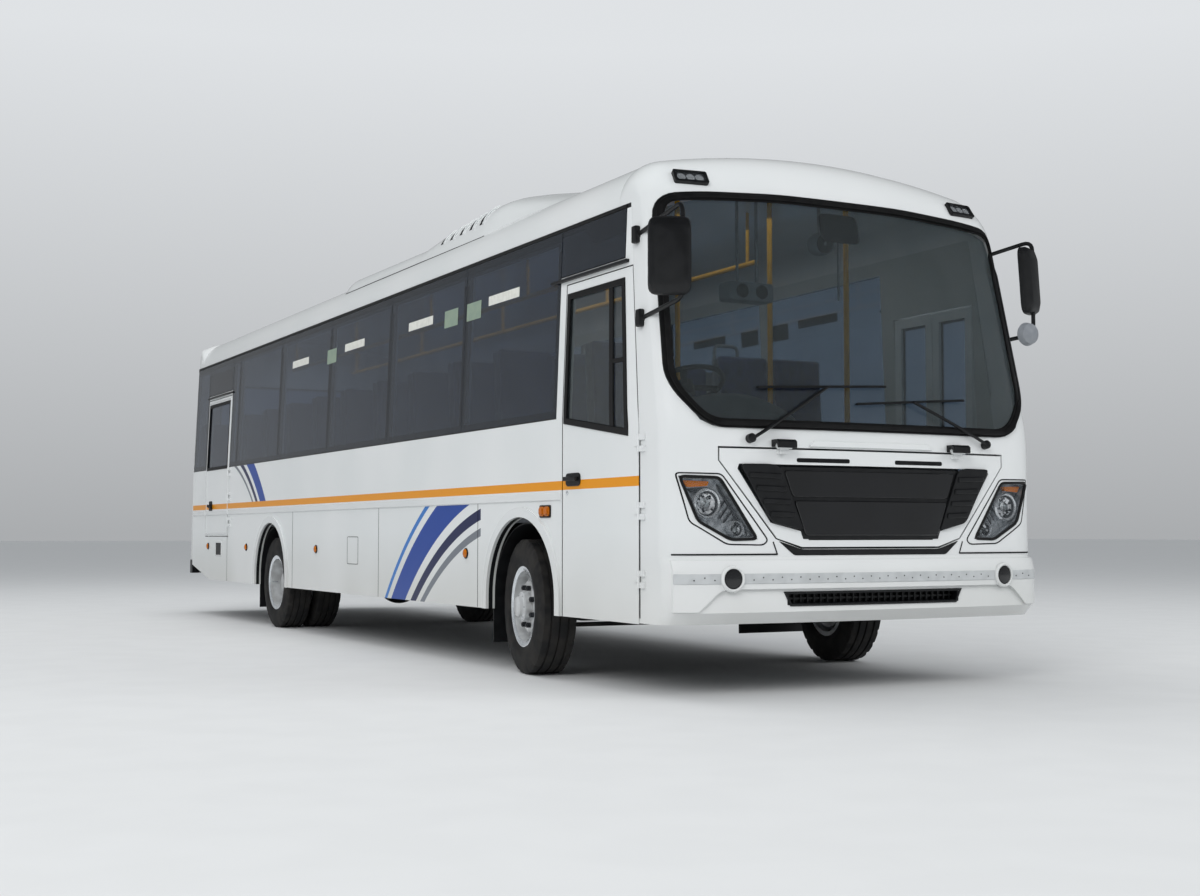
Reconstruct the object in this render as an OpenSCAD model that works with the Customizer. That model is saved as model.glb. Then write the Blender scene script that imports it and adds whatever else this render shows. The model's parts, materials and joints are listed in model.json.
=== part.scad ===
// Single-deck midi bus, right-hand drive, with hinged doors, front flap, steering and turning wheels.
// +X is forward, +Y is the left side and +Z is up. The origin is on the ground under the middle.
// Inside the modules X is counted from the front axle.

/* [Body] */
// Width across the side walls
body_w = 2440; // [2360:10:2500]
// Front axle to the middle of the front fascia
front_overhang = 1800; // [1770:5:1850]
// Front axle to rear axle
wheelbase = 5300; // [5200:10:5400]
// Rear axle to the middle of the rear wall
rear_overhang = 3200; // [3180:10:3300]
// Height of the lower edge of the side walls
skirt_z = 370; // [340:5:400]
// Height of the foot of the window band
waist_z = 1490; // [1460:5:1510]
// Height of the joint between side walls and roof
wall_top_z = 2590; // [2580:2:2600]
// Height of the roof along its middle
roof_z = 2950; // [2940:5:2960]
// Thickness of walls, roof and doors
wall_t = 45; // [40:1:50]
// Lean of the side walls above the waist, in degrees
tumble_deg = 2.3; // [1.5:0.1:3]
// Height of the floor's top
floor_z = 960; // [950:2:970]
// Thickness of the floor
floor_t = 60; // [50:1:64]
// Radius of the roof's crown and of the front in plan
crown_r = 5000; // [4600:50:5600]
// Radius of the long roof edges and of the body's corners
corner_r = 250; // [220:5:270]
// Rake of the windscreen, in degrees
rake_deg = 12; // [10:0.5:14]
// Radius of the brow over the windscreen
brow_r = 400; // [380:5:420]
// Height of the bumpers' top
bumper_top_z = 715; // [705:1:725]

/* [Doors] */
// Gap around each door
door_gap = 7; // [6:0.5:9]
// Rear edge of the front doorways, ahead of the front axle
doorway_rear = 545; // [543:1:560]
// Height of the driver's door's top
driver_door_top = 2250; // [2200:5:2280]
// Front edge of the emergency doorway, behind the rear axle
emergency_set = 1495; // [1460:5:1510]
// Width of the emergency doorway
emergency_w = 925; // [880:5:950]
// Height of the emergency doorway's foot
emergency_foot = 806; // [780:2:830]
// Height of the emergency doorway's top
emergency_top = 2205; // [2150:5:2230]
// Height of the entry doorway's top
entry_top = 2200; // [2150:5:2230]

/* [Windows] */
// Distance from one side window to the next
pane_pitch = 1400; // [1360:5:1405]
// Front end of the first side window
pane_front = 470; // [440:5:490]
// Thickness of the glass
glass_t = 6; // [5:0.5:8]
// Width of the joint between two panes
pane_joint = 8; // [6:1:12]

/* [Wheels] */
// Radius of the tyres
tyre_r = 400; // [392:1:402]
// Width of a tyre
tyre_w = 235; // [225:1:240]
// Radius of the rim's flange
rim_r = 238; // [230:1:242]
// Middle of a front tyre from the middle of the bus
front_half_track = 1087; // [1080:1:1092]
// Middle of an outer rear tyre from the middle of the bus
rear_half_track = 1062; // [1050:1:1068]
// Distance between the middles of twin tyres
twin_gap = 270; // [264:1:280]
// Kingpin from the middle of the bus
kingpin_y = 930; // [928:1:934]
// Radius of the wheel arches
arch_r = 480; // [470:1:484]
// Steering angle at rest, to the left when positive, in degrees
steer_rest_deg = -8; // [-10:0.5:10]

/* [Mounts] */
// Radius of the tow pin's hole
tow_hole_r = 18; // [15:0.5:22]
// Thickness of the tow eyes
tow_eye_t = 50; // [40:1:60]

/* [Hidden] */
$fn = 48;

// Overrun of cuts
over = 5;
hw = body_w / 2;
right = -1;
left = 1;
// The body's ends lie alike from the origin
front_axle_x = (wheelbase + rear_overhang - front_overhang) / 2;
rear_axle_x = -wheelbase;
body_front = front_overhang;
body_rear = -wheelbase - rear_overhang;
emergency_front = wheelbase + emergency_set;

// Skin: a U-shaped section swept along the body's profile
// How much of the section's depth the front and the rear take, the roof taking all
front_share = 0.5;
rear_share = 0.5;
// How far the section's flanges run on, at the front, the bumper, the roof and the rear
flange = 205;
bumper_flange = 230;
roof_flange = 25;
rear_flange = 70;
crown_n = 7;
corner_n = 9;
brow_n = 9;
bend_n = 3;
bend_r = 900;
// The rear's top bends first with the wider radius, to the turn named here, then with the smaller
rear_ease_r = 400;
rear_ease_deg = 120;
rear_brow_r = 250;
ease_n = 4;
rear_lean_deg = 3;
corner_a = asin((hw - corner_r) / (crown_r - corner_r));
corner_s = crown_r - (crown_r - corner_r) * cos(corner_a);
bend_z = waist_z - bend_r * sin(rake_deg);
bend_end_x = body_front - bend_r * (1 - cos(rake_deg));
brow_start_z = roof_z - brow_r * (1 - sin(rake_deg));
brow_x = bend_end_x - (brow_start_z - waist_z) * tan(rake_deg) - brow_r * cos(rake_deg);
rear_low_z = 560;
rear_arc_a = 180 - rear_lean_deg;
rear_mid_z = roof_z - rear_ease_r + (rear_ease_r - rear_brow_r) * sin(rear_ease_deg);
rear_arc_low = rear_mid_z + rear_brow_r * sin(rear_arc_a);
rear_mid_x = body_rear + (rear_arc_low - rear_low_z) * tan(rear_lean_deg) - rear_brow_r * cos(rear_arc_a);
rear_roof_x = rear_mid_x - (rear_ease_r - rear_brow_r) * cos(rear_ease_deg);

// Half of the section at depth t: [across, depth, 1 at the flange's end]
function half_section(t) = concat(
    [for (i = [1 : crown_n]) let (a = corner_a * i / crown_n)
        [(crown_r - t) * sin(a), crown_r - (crown_r - t) * cos(a), 0]],
    [for (i = [1 : corner_n]) let (a = corner_a + (90 - corner_a) * i / corner_n)
        [hw - corner_r + (corner_r - t) * sin(a), corner_s - (corner_r - t) * cos(a), 0]],
    [[hw - t, corner_s, 1]]);
function section(t) = let (h = half_section(t), last = len(h) - 1) concat(
    [for (i = [last : -1 : 0]) [-h[i].x, h[i].y, h[i].z]], [[0, t, 0]], h);
// Half width of the body at height z, and a point leaned in with the side walls
function half_width(z) = hw - tan(tumble_deg) * max(0, z - waist_z);
function leaned(x, y, z) = [x, y * half_width(z) / hw, z];
// A station is [x, z, turn of the inward normal, share of the depth, flange]
function skin_point(st, p, t) = let (s = t + st[3] * (p.y - t) + p.z * st[4])
    leaned(st[0] - cos(st[2]) * s, p.x, st[1] - sin(st[2]) * s);
function front_stations(z0) = concat(
    [[body_front, z0, 0, front_share, flange]],
    [for (i = [0 : bend_n]) let (a = rake_deg * i / bend_n)
        [body_front - bend_r * (1 - cos(a)), bend_z + bend_r * sin(a), a, front_share, flange]],
    [for (i = [0 : brow_n]) let (a = rake_deg + (90 - rake_deg) * i / brow_n)
        [brow_x + brow_r * cos(a), roof_z - brow_r * (1 - sin(a)), a,
            front_share + (1 - front_share) * i / brow_n, flange + (roof_flange - flange) * i / brow_n]]);
roof_stations = [[brow_x, roof_z, 90, 1, roof_flange], [rear_roof_x, roof_z, 90, 1, roof_flange]];
rear_stations = concat(
    [for (i = [0 : ease_n]) let (a = 90 + (rear_ease_deg - 90) * i / ease_n)
        [rear_roof_x + rear_ease_r * cos(a), roof_z - rear_ease_r * (1 - sin(a)), a,
            1 + (rear_share - 1) * i / ease_n, roof_flange + (rear_flange - roof_flange) * i / ease_n]],
    [for (i = [1 : brow_n]) let (a = rear_ease_deg + (rear_arc_a - rear_ease_deg) * i / brow_n)
        [rear_mid_x + rear_brow_r * cos(a), rear_mid_z + rear_brow_r * sin(a), a, rear_share, rear_flange]],
    [[body_rear + (waist_z - rear_low_z) * tan(rear_lean_deg), waist_z, rear_arc_a, rear_share, rear_flange],
    [body_rear, rear_low_z, 180, rear_share, rear_flange]]);

// The skin between depths t0 and t1 over the stations, as one closed shell
module skin(stations, t0, t1) {
    outer = section(t0);
    inner = section(t1);
    n = len(outer);
    m = len(stations);
    k = m * n;
    points = concat([for (st = stations) for (p = outer) skin_point(st, p, t0)],
        [for (st = stations) for (p = inner) skin_point(st, p, t1)]);
    sheet = [for (i = [0 : m - 2]) for (j = [0 : n - 2]) let (a = i * n + j, b = a + n)
        each [[a, b, b + 1], [a, b + 1, a + 1], [k + a, k + b + 1, k + b], [k + a, k + a + 1, k + b + 1]]];
    low_high = [for (j = [0 : n - 2]) let (a = j, b = (m - 1) * n + j)
        each [[a, a + 1, k + a + 1], [a, k + a + 1, k + a], [b + 1, b, k + b], [b + 1, k + b, k + b + 1]]];
    ends = [for (i = [0 : m - 2]) let (a = i * n, b = a + n, c = a + n - 1, d = c + n)
        each [[b, a, k + a], [b, k + a, k + b], [c, d, k + d], [c, k + d, k + c]]];
    polyhedron(points, concat(sheet, low_high, ends));
}

// A flat outline in (y, z), drawn out along X, and one in (x, z), drawn out along Y
module along_x(x0, x1) {
    translate([x0, 0, 0]) rotate([90, 0, 90]) linear_extrude(x1 - x0) children();
}
module along_y(y0, y1) {
    translate([0, y1, 0]) rotate([90, 0, 0]) linear_extrude(y1 - y0) children();
}
module rod_y(r, y0, y1) {
    translate([0, y1, 0]) rotate([90, 0, 0]) cylinder(r = r, h = y1 - y0);
}
module rod_x(r, x0, x1) {
    translate([x0, 0, 0]) rotate([0, 90, 0]) cylinder(r = r, h = x1 - x0);
}
// A straight tube from p to a ball at q
elbow_share = 1.2;
module tube(r, p, q) {
    d = q - p;
    h = norm(d);
    translate(p) rotate([0, acos(d.z / h), atan2(d.y, d.x)]) cylinder(r = r, h = h);
    translate(q) sphere(r = r * elbow_share);
}
module block(p, q) {
    translate(p) cube(q - p);
}
// Both sides of the bus
module both_sides() {
    children();
    mirror([0, 1, 0]) children();
}

// Side walls: a slab that leans in above the waist, between depths d0 and d1 from its outer face
module wall_slab(side, d0, d1, x0, x1) {
    low = skirt_z - over;
    top = wall_top_z + over;
    along_x(x0, x1) polygon([for (p = [[hw - d0, low], [hw - d0, waist_z], [half_width(top) - d0, top],
        [half_width(top) - d1, top], [hw - d1, waist_z], [hw - d1, low]]) [side * p.x, p.y]]);
}
// What of the slab lies inside a flat outline in (x, z)
module wall_piece(side, d0, d1) {
    y0 = min(side * (hw + 2 * over), side * (hw - reveal));
    y1 = max(side * (hw + 2 * over), side * (hw - reveal));
    intersection() {
        wall_slab(side, d0, d1, body_rear, body_front);
        along_y(y0, y1) children();
    }
}
// Depth that every cut through a side wall reaches
reveal = 300;
// Rear edge of the side walls, and the rise of the skirt behind the rear wheels
wall_rear_in = 240;
skirt_rise_in = 980;
wall_rear = body_rear + wall_rear_in;
skirt_rise_x = body_rear + skirt_rise_in;
skirt_rise_z = 510;
// The fascia's rear edge: upright below the kink, then leaning back
pillar_in = 360;
pillar_x = front_overhang - pillar_in;
pillar_kink_z = 1400;
pillar_lean_deg = 7.7;
function pillar(z) = pillar_x - tan(pillar_lean_deg) * max(0, z - pillar_kink_z);
module side_zone() {
    polygon([[wall_rear, skirt_rise_z], [skirt_rise_x, skirt_z], [pillar_x, skirt_z],
        [pillar_x, pillar_kink_z], [pillar(wall_top_z), wall_top_z], [wall_rear, wall_top_z]]);
}
// The part of both sides that walls and doors fill, cut from the skins
module side_zone_cut() {
    both_sides() along_y(hw - reveal, hw + 2 * over) side_zone();
}

// Wheel arches
arch_z = 452;
module arch_cut(x, r) {
    translate([x, arch_z]) circle(r = r);
    translate([x - r, 0]) square([2 * r, arch_z]);
}
module arches(r) {
    arch_cut(0, r);
    arch_cut(rear_axle_x, r);
}

// Window band
band_low = waist_z;
band_head = 20;
band_end = 10;
band_top = wall_top_z - band_head;
band_rear = wall_rear + band_end;
strip_front_in = 205;
strip_sill = 50;
band_over_door_front = pillar_x - strip_front_in;
band_over_door_low = driver_door_top + strip_sill;
pane_frame = 45;
pane_head = 70;
right_panes = floor((pane_front + emergency_front) / pane_pitch);
left_panes = floor((pane_front - band_rear) / pane_pitch);
right_last = pane_front - right_panes * pane_pitch;
left_last = pane_front - left_panes * pane_pitch;
emergency_rear = -emergency_front - emergency_w;
door_strip_gap = 45;
// Panes as [rear, front, low, top] of each side
function strip(low) = [pane_front, band_over_door_front, low, band_top];
right_table = concat(
    [for (i = [0 : right_panes - 1])
        [pane_front - (i + 1) * pane_pitch, pane_front - i * pane_pitch, band_low, band_top]],
    [[-emergency_front, right_last, band_low, band_top], [band_rear, emergency_rear, band_low, band_top],
    [emergency_rear, -emergency_front, emergency_top + door_strip_gap, band_top], strip(band_over_door_low)]);
left_table = concat(
    [for (i = [0 : left_panes - 1])
        [pane_front - (i + 1) * pane_pitch, pane_front - i * pane_pitch, band_low, band_top]],
    [[band_rear, left_last, band_low, band_top], strip(band_over_door_low)]);
module pane(p, inset) {
    translate([p[0] + inset, p[2] + inset]) square([p[1] - p[0] - 2 * inset, p[3] - p[2] - 2 * inset]);
}
module rebates(table) {
    for (p = table) pane(p, -pane_joint / 2);
}
// Only the tall panes look into the saloon
module lights(table) {
    for (p = table) if (p[2] == band_low)
        translate([p[0] + pane_frame, p[2] + pane_frame])
            square([p[1] - p[0] - 2 * pane_frame, p[3] - p[2] - pane_frame - pane_head]);
}

// Doors
latch_gap = 13;
module driver_doorway(inset, latch, low) {
    front = pillar_x - inset;
    polygon([[doorway_rear + latch, low], [front, low], [front, pillar_kink_z],
        [pillar(driver_door_top) - inset, driver_door_top - inset],
        [doorway_rear + latch, driver_door_top - inset]]);
}
// Frame of the driver's window: rear, foot, dropped foot, front, raked front, head
dw_rear = 40;
dw_foot = 25;
dw_drop = 130;
dw_front = 130;
dw_rake = 95;
dw_head = 70;
module driver_window(inset) {
    rear = doorway_rear + dw_rear + inset;
    front = pillar_x - dw_front - inset;
    top = driver_door_top - dw_head - inset;
    polygon([[rear, waist_z - dw_foot + inset], [front, waist_z - dw_drop + inset],
        [front, pillar_kink_z], [pillar(driver_door_top) - dw_rake - inset, top], [rear, top]]);
}
module emergency_doorway(inset, latch) {
    translate([emergency_rear + latch, emergency_foot + inset])
        square([emergency_w - latch - inset, emergency_top - emergency_foot - 2 * inset]);
}
emergency_frame = 60;
module emergency_window() {
    translate([emergency_rear + emergency_frame, waist_z])
        square([emergency_w - 2 * emergency_frame, emergency_top - waist_z - emergency_frame]);
}
// Entry doorway with two folding leaves on upright pivots
entry_foot = 440;
entry_front = 1285;
leaf_t = 36;
leaf_in = 34;
leaf_outer_y = hw - leaf_in;
leaf_end = 12;
entry_gap = 8;
entry_rear_gap = 12;
hinge_r = 8;
entry_axis_x = entry_front - entry_gap - leaf_end;
entry_axis_y = leaf_outer_y - leaf_t + hinge_r;
entry_fold_y = leaf_outer_y + hinge_r;
leaf_l = (entry_axis_x - doorway_rear - entry_rear_gap - leaf_end) / 2;
entry_fold_x = entry_axis_x - leaf_l;
pivot_r = 8;
pivot_clear = 0.05;
pivot_depth = 22;
pivot_in = 18;
leaf_fold_gap = 4;
module entry_doorway() {
    translate([doorway_rear, 0]) square([entry_front - doorway_rear, entry_top]);
}

// Hinges with an upright pin just outside a door's face; the fixed leaf points to +X
hinge_pin_r = 5;
hinge_clear = 0.05;
hinge_leaf_t = 5;
hinge_leaf_l = 55;
hinge_knuckle = 30;
hinge_slit = 0.5;
hinge_set = 12;
hinge_lift = 5;
// How far a moving leaf's foot reaches into its own door
hinge_bite = 1;
module hinge_fixed(z, lift = 0) {
    for (s = [-1, 1]) translate([0, 0, z + s * hinge_knuckle - hinge_knuckle / 2]) {
        cylinder(r = hinge_r, h = hinge_knuckle);
        translate([0, hinge_r - hinge_leaf_t, 0]) cube([hinge_leaf_l, hinge_leaf_t + lift, hinge_knuckle]);
    }
    translate([0, 0, z - hinge_knuckle]) cylinder(r = hinge_pin_r, h = 2 * hinge_knuckle);
}
module hinge_moving(z, lift = 0) {
    h = hinge_knuckle - 2 * hinge_slit;
    foot = hinge_leaf_l - hinge_set - 2 * door_gap;
    translate([0, 0, z - h / 2]) difference() {
        union() {
            cylinder(r = hinge_r, h = h);
            translate([-hinge_leaf_l, hinge_r - hinge_leaf_t, 0]) cube([hinge_leaf_l, hinge_leaf_t, h]);
            translate([-hinge_leaf_l, hinge_r - hinge_leaf_t, 0]) cube([foot, hinge_leaf_t + lift + hinge_bite, h]);
        }
        translate([0, 0, -over]) cylinder(r = hinge_pin_r + hinge_clear, h = h + 2 * over);
    }
}
door_axis_y = -hw - hinge_r - hinge_lift;
driver_axis_x = pillar_x + hinge_set;
driver_hinge_heights = [600, 950, 1300];
emergency_axis_x = -emergency_front + hinge_set;
emergency_hinge_heights = [950, 1200, 1440];
leaf_hinge_heights = [600, 1300, 2000];

// Outlines in (y, z) on the front
ws_low = 1380;
ws_top = 2660;
ws_top_side = 2600;
ws_edge = 40;
ws_chamfer_in = 220;
ws_half = hw - ws_edge;
ws_chamfer_y = hw - ws_chamfer_in;
ws_chamfer_z = 1600;
seal_w = 34;
function mirrored(h) = concat(h, [for (i = [len(h) - 1 : -1 : 0]) [-h[i].x, h[i].y]]);
module windscreen_outline(inset) {
    corner = 60;
    polygon(mirrored([[0.35 * ws_half, ws_top - 0.1 * (ws_top - ws_top_side) - inset],
        [0.75 * ws_half, ws_top - 0.5 * (ws_top - ws_top_side) - inset],
        [half_width(ws_top_side) - (hw - ws_half) - 2 * corner - inset * 0.4, ws_top_side - inset],
        [half_width(ws_top_side) - (hw - ws_half) - corner * 0.6 - inset * 0.7, ws_top_side - corner * 0.6 - inset * 0.7],
        [half_width(ws_top_side) - (hw - ws_half) - inset, ws_top_side - 2 * corner - inset * 0.4],
        [ws_half - inset, ws_chamfer_z + corner],
        [ws_half - corner * 0.35 - inset, ws_chamfer_z - corner * 0.5],
        [ws_chamfer_y + corner * 0.6 - inset * 0.4, ws_low + corner * 0.5 + inset],
        [ws_chamfer_y - corner * 0.6 - inset * 0.4, ws_low + inset]]));
}
// Front flap
flap_top = 1267;
flap_edge = 290;
flap_low_edge = 620;
flap_chin_edge = 770;
flap_half = hw - flap_edge;
flap_side = 62;
flap_low_half = hw - flap_low_edge;
flap_low = 810;
flap_chin = 765;
flap_chin_half = hw - flap_chin_edge;
flap_gap = 10;
flap_t = 8;
flap_axis_out = 15;
flap_axis_up = 12;
flap_axis_x = body_front + flap_axis_out;
flap_axis_z = flap_top + flap_axis_up;
flap_hinge_edge = 355;
flap_hinge_y = flap_half - flap_hinge_edge;
flap_hinge_r = 12;
flap_pin_r = 6;
flap_hinge_half = 28;
flap_cheek = 14;
module flap_outline(grow) {
    polygon(mirrored([[flap_half + grow, flap_top + grow], [flap_half + grow, flap_top - flap_side],
        [flap_low_half + grow, flap_low - grow * 0.4], [flap_chin_half + grow * 0.5, flap_chin - grow]]));
}
// Grille on the flap, as [distance in from the flap's edge, distance down from its top]
grille_points = [[110, 77], [100, 102], [290, 377], [500, 427], [520, 467]];
module grille_outline() {
    polygon(mirrored([for (p = grille_points) [flap_half - p.x, flap_top - p.y]]));
}
// Headlamps, as the right one's outline in [distance in from the side, height]
lamp_points = [[70, 1125], [290, 1120], [505, 805], [350, 800], [165, 895]];
lamp_depth = 60;
module lamp_outline() {
    polygon([for (p = lamp_points) [p.x - hw, p.y]]);
}
front_reach = 500;
module front_cut() {
    along_x(body_front - front_reach, body_front + front_reach) children();
}
module front_piece(t0, t1, z0 = bumper_top_z) {
    intersection() {
        skin(front_stations(z0), t0, t1);
        front_cut() children();
    }
}

// Body panels
module front_fascia() {
    color("white") difference() {
        skin(front_stations(bumper_top_z), 0, wall_t);
        front_cut() windscreen_outline(0);
        front_cut() flap_outline(flap_gap);
        both_sides() front_cut() lamp_outline();
        side_zone_cut();
    }
}
module roof() {
    color("white") difference() {
        skin(roof_stations, 0, wall_t);
        side_zone_cut();
    }
}
rear_window_edge = 300;
rear_window_half = hw - rear_window_edge;
rear_window_low = 1560;
rear_window_top = 2440;
rear_lamp_edge = 210;
rear_lamp_half = hw - rear_lamp_edge;
rear_lamp_w = 150;
rear_lamp_low = 800;
rear_lamp_h = 480;
module rear_cut() {
    along_x(body_rear - front_reach, body_rear + front_reach) children();
}
module rear_window_outline(inset) {
    translate([-rear_window_half + inset, rear_window_low + inset])
        square([2 * (rear_window_half - inset), rear_window_top - rear_window_low - 2 * inset]);
}
module rear_lamp_cut() {
    both_sides() rear_cut() translate([rear_lamp_half - rear_lamp_w / 2, rear_lamp_low])
        square([rear_lamp_w, rear_lamp_h]);
}
module rear_wall() {
    color("white") difference() {
        skin(rear_stations, 0, wall_t);
        rear_cut() rear_window_outline(0);
        rear_lamp_cut();
        side_zone_cut();
    }
}
module rear_window() {
    color("darkslategray") intersection() {
        skin(rear_stations, glass_t, 2 * glass_t);
        rear_cut() rear_window_outline(0);
    }
}
module rear_lamps() {
    color("red") intersection() {
        skin(rear_stations, -glass_t, wall_t);
        rear_lamp_cut();
    }
}
module windscreen() {
    color("darkslategray") front_piece(glass_t, 2 * glass_t) windscreen_outline(seal_w);
}
seal_proud = 8;
module windscreen_seal() {
    color("black") front_piece(-seal_proud, wall_t / 2) difference() {
        windscreen_outline(0);
        windscreen_outline(seal_w);
    }
}
module headlamps() {
    color("lightgray") intersection() {
        skin(front_stations(bumper_top_z), 0, lamp_depth);
        both_sides() front_cut() lamp_outline();
    }
}

module side_wall_right() {
    color("white") difference() {
        wall_piece(right, 0, wall_t) difference() {
            side_zone();
            arches(arch_r);
            driver_doorway(0, 0, 0);
            translate([pillar_x - over, 0]) square([wall_t, driver_door_top]);
            emergency_doorway(0, 0);
            lights(right_table);
        }
        wall_piece(right, -over, glass_t) rebates(right_table);
    }
}
module side_wall_left() {
    color("white") difference() {
        wall_piece(left, 0, wall_t) difference() {
            side_zone();
            arches(arch_r);
            entry_doorway();
            lights(left_table);
        }
        wall_piece(left, -over, glass_t) rebates(left_table);
        translate([entry_axis_x, entry_axis_y, entry_top - over])
            cylinder(r = pivot_r + pivot_clear, h = pivot_depth + 2 * over);
    }
}
module side_glass() {
    color("darkslategray") {
        wall_piece(right, 0, glass_t) for (p = right_table) pane(p, pane_joint / 2);
        wall_piece(left, 0, glass_t) for (p = left_table) pane(p, pane_joint / 2);
    }
}
flare_w = 58;
flare_t = 16;
module arch_flares() {
    color("white") both_sides() intersection() {
        along_y(hw, hw + flare_t) difference() {
            arches(arch_r + flare_w);
            arches(arch_r);
        }
        block([body_rear, 0, skirt_z], [body_front, body_w, roof_z]);
    }
}
liner_z = 398;
liner_in = 495;
liner_t = floor_z - floor_t - liner_z - liner_in;
liner_inner_y = 640;
flap_plate_t = 10;
flap_plate_foot = 160;
flap_plate_x = 508;
module mudguards() {
    color("dimgray") both_sides() for (x = [0, rear_axle_x]) {
        along_y(liner_inner_y, hw - wall_t) difference() {
            translate([x, liner_z]) circle(r = liner_in + liner_t);
            translate([x, liner_z]) circle(r = liner_in);
            translate([x - 2 * liner_in, liner_z - 2 * liner_in]) square([4 * liner_in, 2 * liner_in]);
        }
        block([x - liner_in - liner_t, liner_inner_y, flap_plate_foot], [x - liner_in, hw - wall_t, liner_z]);
    }
}

// Front bumper: the front's section standing proud, with a slot
bumper_out = 30;
bumper_t = 70;
bumper_low = 375;
bumper_tuck = 60;
bumper_shoulder = 60;
plate_half = 90;
plate_z = 600;
plate_hole_r = 4;
slot_half = 560;
slot_low = 470;
slot_h = 60;
bumper_stations = [[body_front - bumper_tuck + bumper_out, bumper_low, 0, front_share, bumper_flange],
    [body_front + bumper_out, bumper_low + bumper_shoulder, 0, front_share, bumper_flange],
    [body_front + bumper_out, bumper_top_z - bumper_shoulder, 0, front_share, bumper_flange],
    [body_front, bumper_top_z, 0, front_share, bumper_flange]];
module front_bumper() {
    color("white") difference() {
        skin(bumper_stations, 0, bumper_t);
        front_cut() translate([-slot_half, slot_low]) square([2 * slot_half, slot_h]);
        both_sides() along_y(hw - reveal, hw + 2 * over) square([pillar_x, roof_z]);
        for (y = [-plate_half, plate_half]) translate([0, y, plate_z])
            rod_x(plate_hole_r, body_front - reveal, body_front + reveal);
    }
}
rear_bumper_low = 420;
rear_bumper_out = 25;
rear_bumper_stations = [[body_rear - rear_bumper_out, rear_low_z, 180, rear_share, bumper_flange],
    [body_rear - rear_bumper_out, rear_bumper_low, 180, rear_share, bumper_flange]];
module rear_bumper() {
    color("dimgray") difference() {
        skin(rear_bumper_stations, 0, bumper_t);
        both_sides() along_y(hw - reveal, hw + 2 * over) translate([wall_rear, 0]) square([2 * reveal, roof_z]);
    }
}

// Roof pod: a low rear part and a taller front part with a sloped nose
pod_edge_in = 460;
pod_half = hw - pod_edge_in;
pod_edge = 70;
pod_sink = 60;
// Profile as [x, height above the roof]
pod_profile = [[-4720, -pod_sink], [-4640, 60], [-4420, 110], [-2760, 110], [-2480, 160], [-1450, 190],
    [-1150, 170], [-260, -10], [-200, -pod_sink]];
module roof_pod() {
    color("white") difference() {
        intersection() {
            along_y(-pod_half, pod_half) polygon([for (p = pod_profile) [p.x, roof_z + p.y]]);
            along_x(body_rear, body_front) polygon(mirrored([[pod_half - 3 * pod_edge, roof_z + 3 * pod_edge],
                [pod_half - pod_edge, roof_z + pod_edge], [pod_half, roof_z - pod_edge]]));
        }
        skin([[body_front, roof_z, 90, 1, roof_flange], [body_rear, roof_z, 90, 1, roof_flange]], 0, 2 * wall_t);
    }
}

// Small lamps: [x, height, half width, half height] on the right side, and alike on the left
marker_half = 28;
marker_z = 708;
marker_rear_in = 924;
marker_behind = 817;
marker_mid_share = 0.75;
marker_front_x = -832;
repeater = [335, 962, 65, 30];
side_lamp_table = concat([for (x = [body_rear + marker_rear_in, rear_axle_x - marker_behind,
    marker_mid_share * rear_axle_x, marker_front_x]) [x, marker_z, marker_half, marker_half]], [repeater]);
side_lamp_t = 14;
brow_lamp_edge = 305;
brow_lamp_y = hw - brow_lamp_edge;
brow_lamp_w = 170;
brow_lamp_low = 2675;
brow_lamp_h = 75;
module side_lamps() {
    color("orange") both_sides() for (p = side_lamp_table)
        translate([p[0] - p[2], hw, p[1] - p[3]]) cube([2 * p[2], side_lamp_t, 2 * p[3]]);
    color("white") intersection() {
        skin(front_stations(bumper_top_z), -seal_proud, 0);
        both_sides() front_cut() translate([brow_lamp_y - brow_lamp_w / 2, brow_lamp_low])
            square([brow_lamp_w, brow_lamp_h]);
    }
}

// Mirrors on tube arms, each arm with two feet on the fascia's sides
mirror_tube_r = 12;
mirror_depth = 70;
mirror_foot_r = 30;
mirror_foot_t = 26;
mirror_foot_mid = 16;
// Feet as [x, z], and the bar between them as [x, distance from the middle, low, top]
right_feet = [[1365, 2400], [1440, 1950]];
right_bar_in = 20;
left_bar_out = 175;
right_head_out = 55;
left_head_out = 152;
right_bar = [1850, hw - right_bar_in, 1990, 2430];
left_feet = [[1350, 2480], [1440, 1960]];
left_bar = [1540, hw + left_bar_out, 2010, 2565];
right_head_y = hw + right_head_out;
right_head_z = 2185;
left_head_y = hw + left_head_out;
left_head_z = 2325;
mirror_head_w = 215;
left_head_w = 160;
mirror_head_h = 390;
mirror_round_r = 70;
mirror_round_out = 140;
mirror_round_y = hw + mirror_round_out;
module mirror_arm(side, feet, bar) {
    ends = [bar[3], bar[2]];
    for (i = [0, 1]) {
        wall_piece(side, -mirror_foot_t, 0) translate(feet[i]) circle(r = mirror_foot_r);
        tube(mirror_tube_r, [feet[i].x, side * (half_width(feet[i].y) + mirror_foot_mid), feet[i].y],
            [bar[0], side * bar[1], ends[i]]);
    }
    translate([bar[0], side * bar[1], bar[2]]) cylinder(r = mirror_tube_r, h = bar[3] - bar[2]);
}
module mirror_head(x, y, z, w) {
    translate([x - mirror_depth / 2, y - w / 2, z - mirror_head_h / 2]) cube([mirror_depth, w, mirror_head_h]);
}
module mirrors() {
    color("black") {
        mirror_arm(right, right_feet, right_bar);
        mirror_head(right_bar[0], -right_head_y, right_head_z, mirror_head_w);
        mirror_arm(left, left_feet, left_bar);
        mirror_head(left_bar[0], left_head_y, left_head_z, left_head_w);
        translate([left_bar[0], mirror_round_y, left_bar[2]]) rod_x(mirror_round_r, -mirror_depth / 2, mirror_depth / 2);
    }
}

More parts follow.
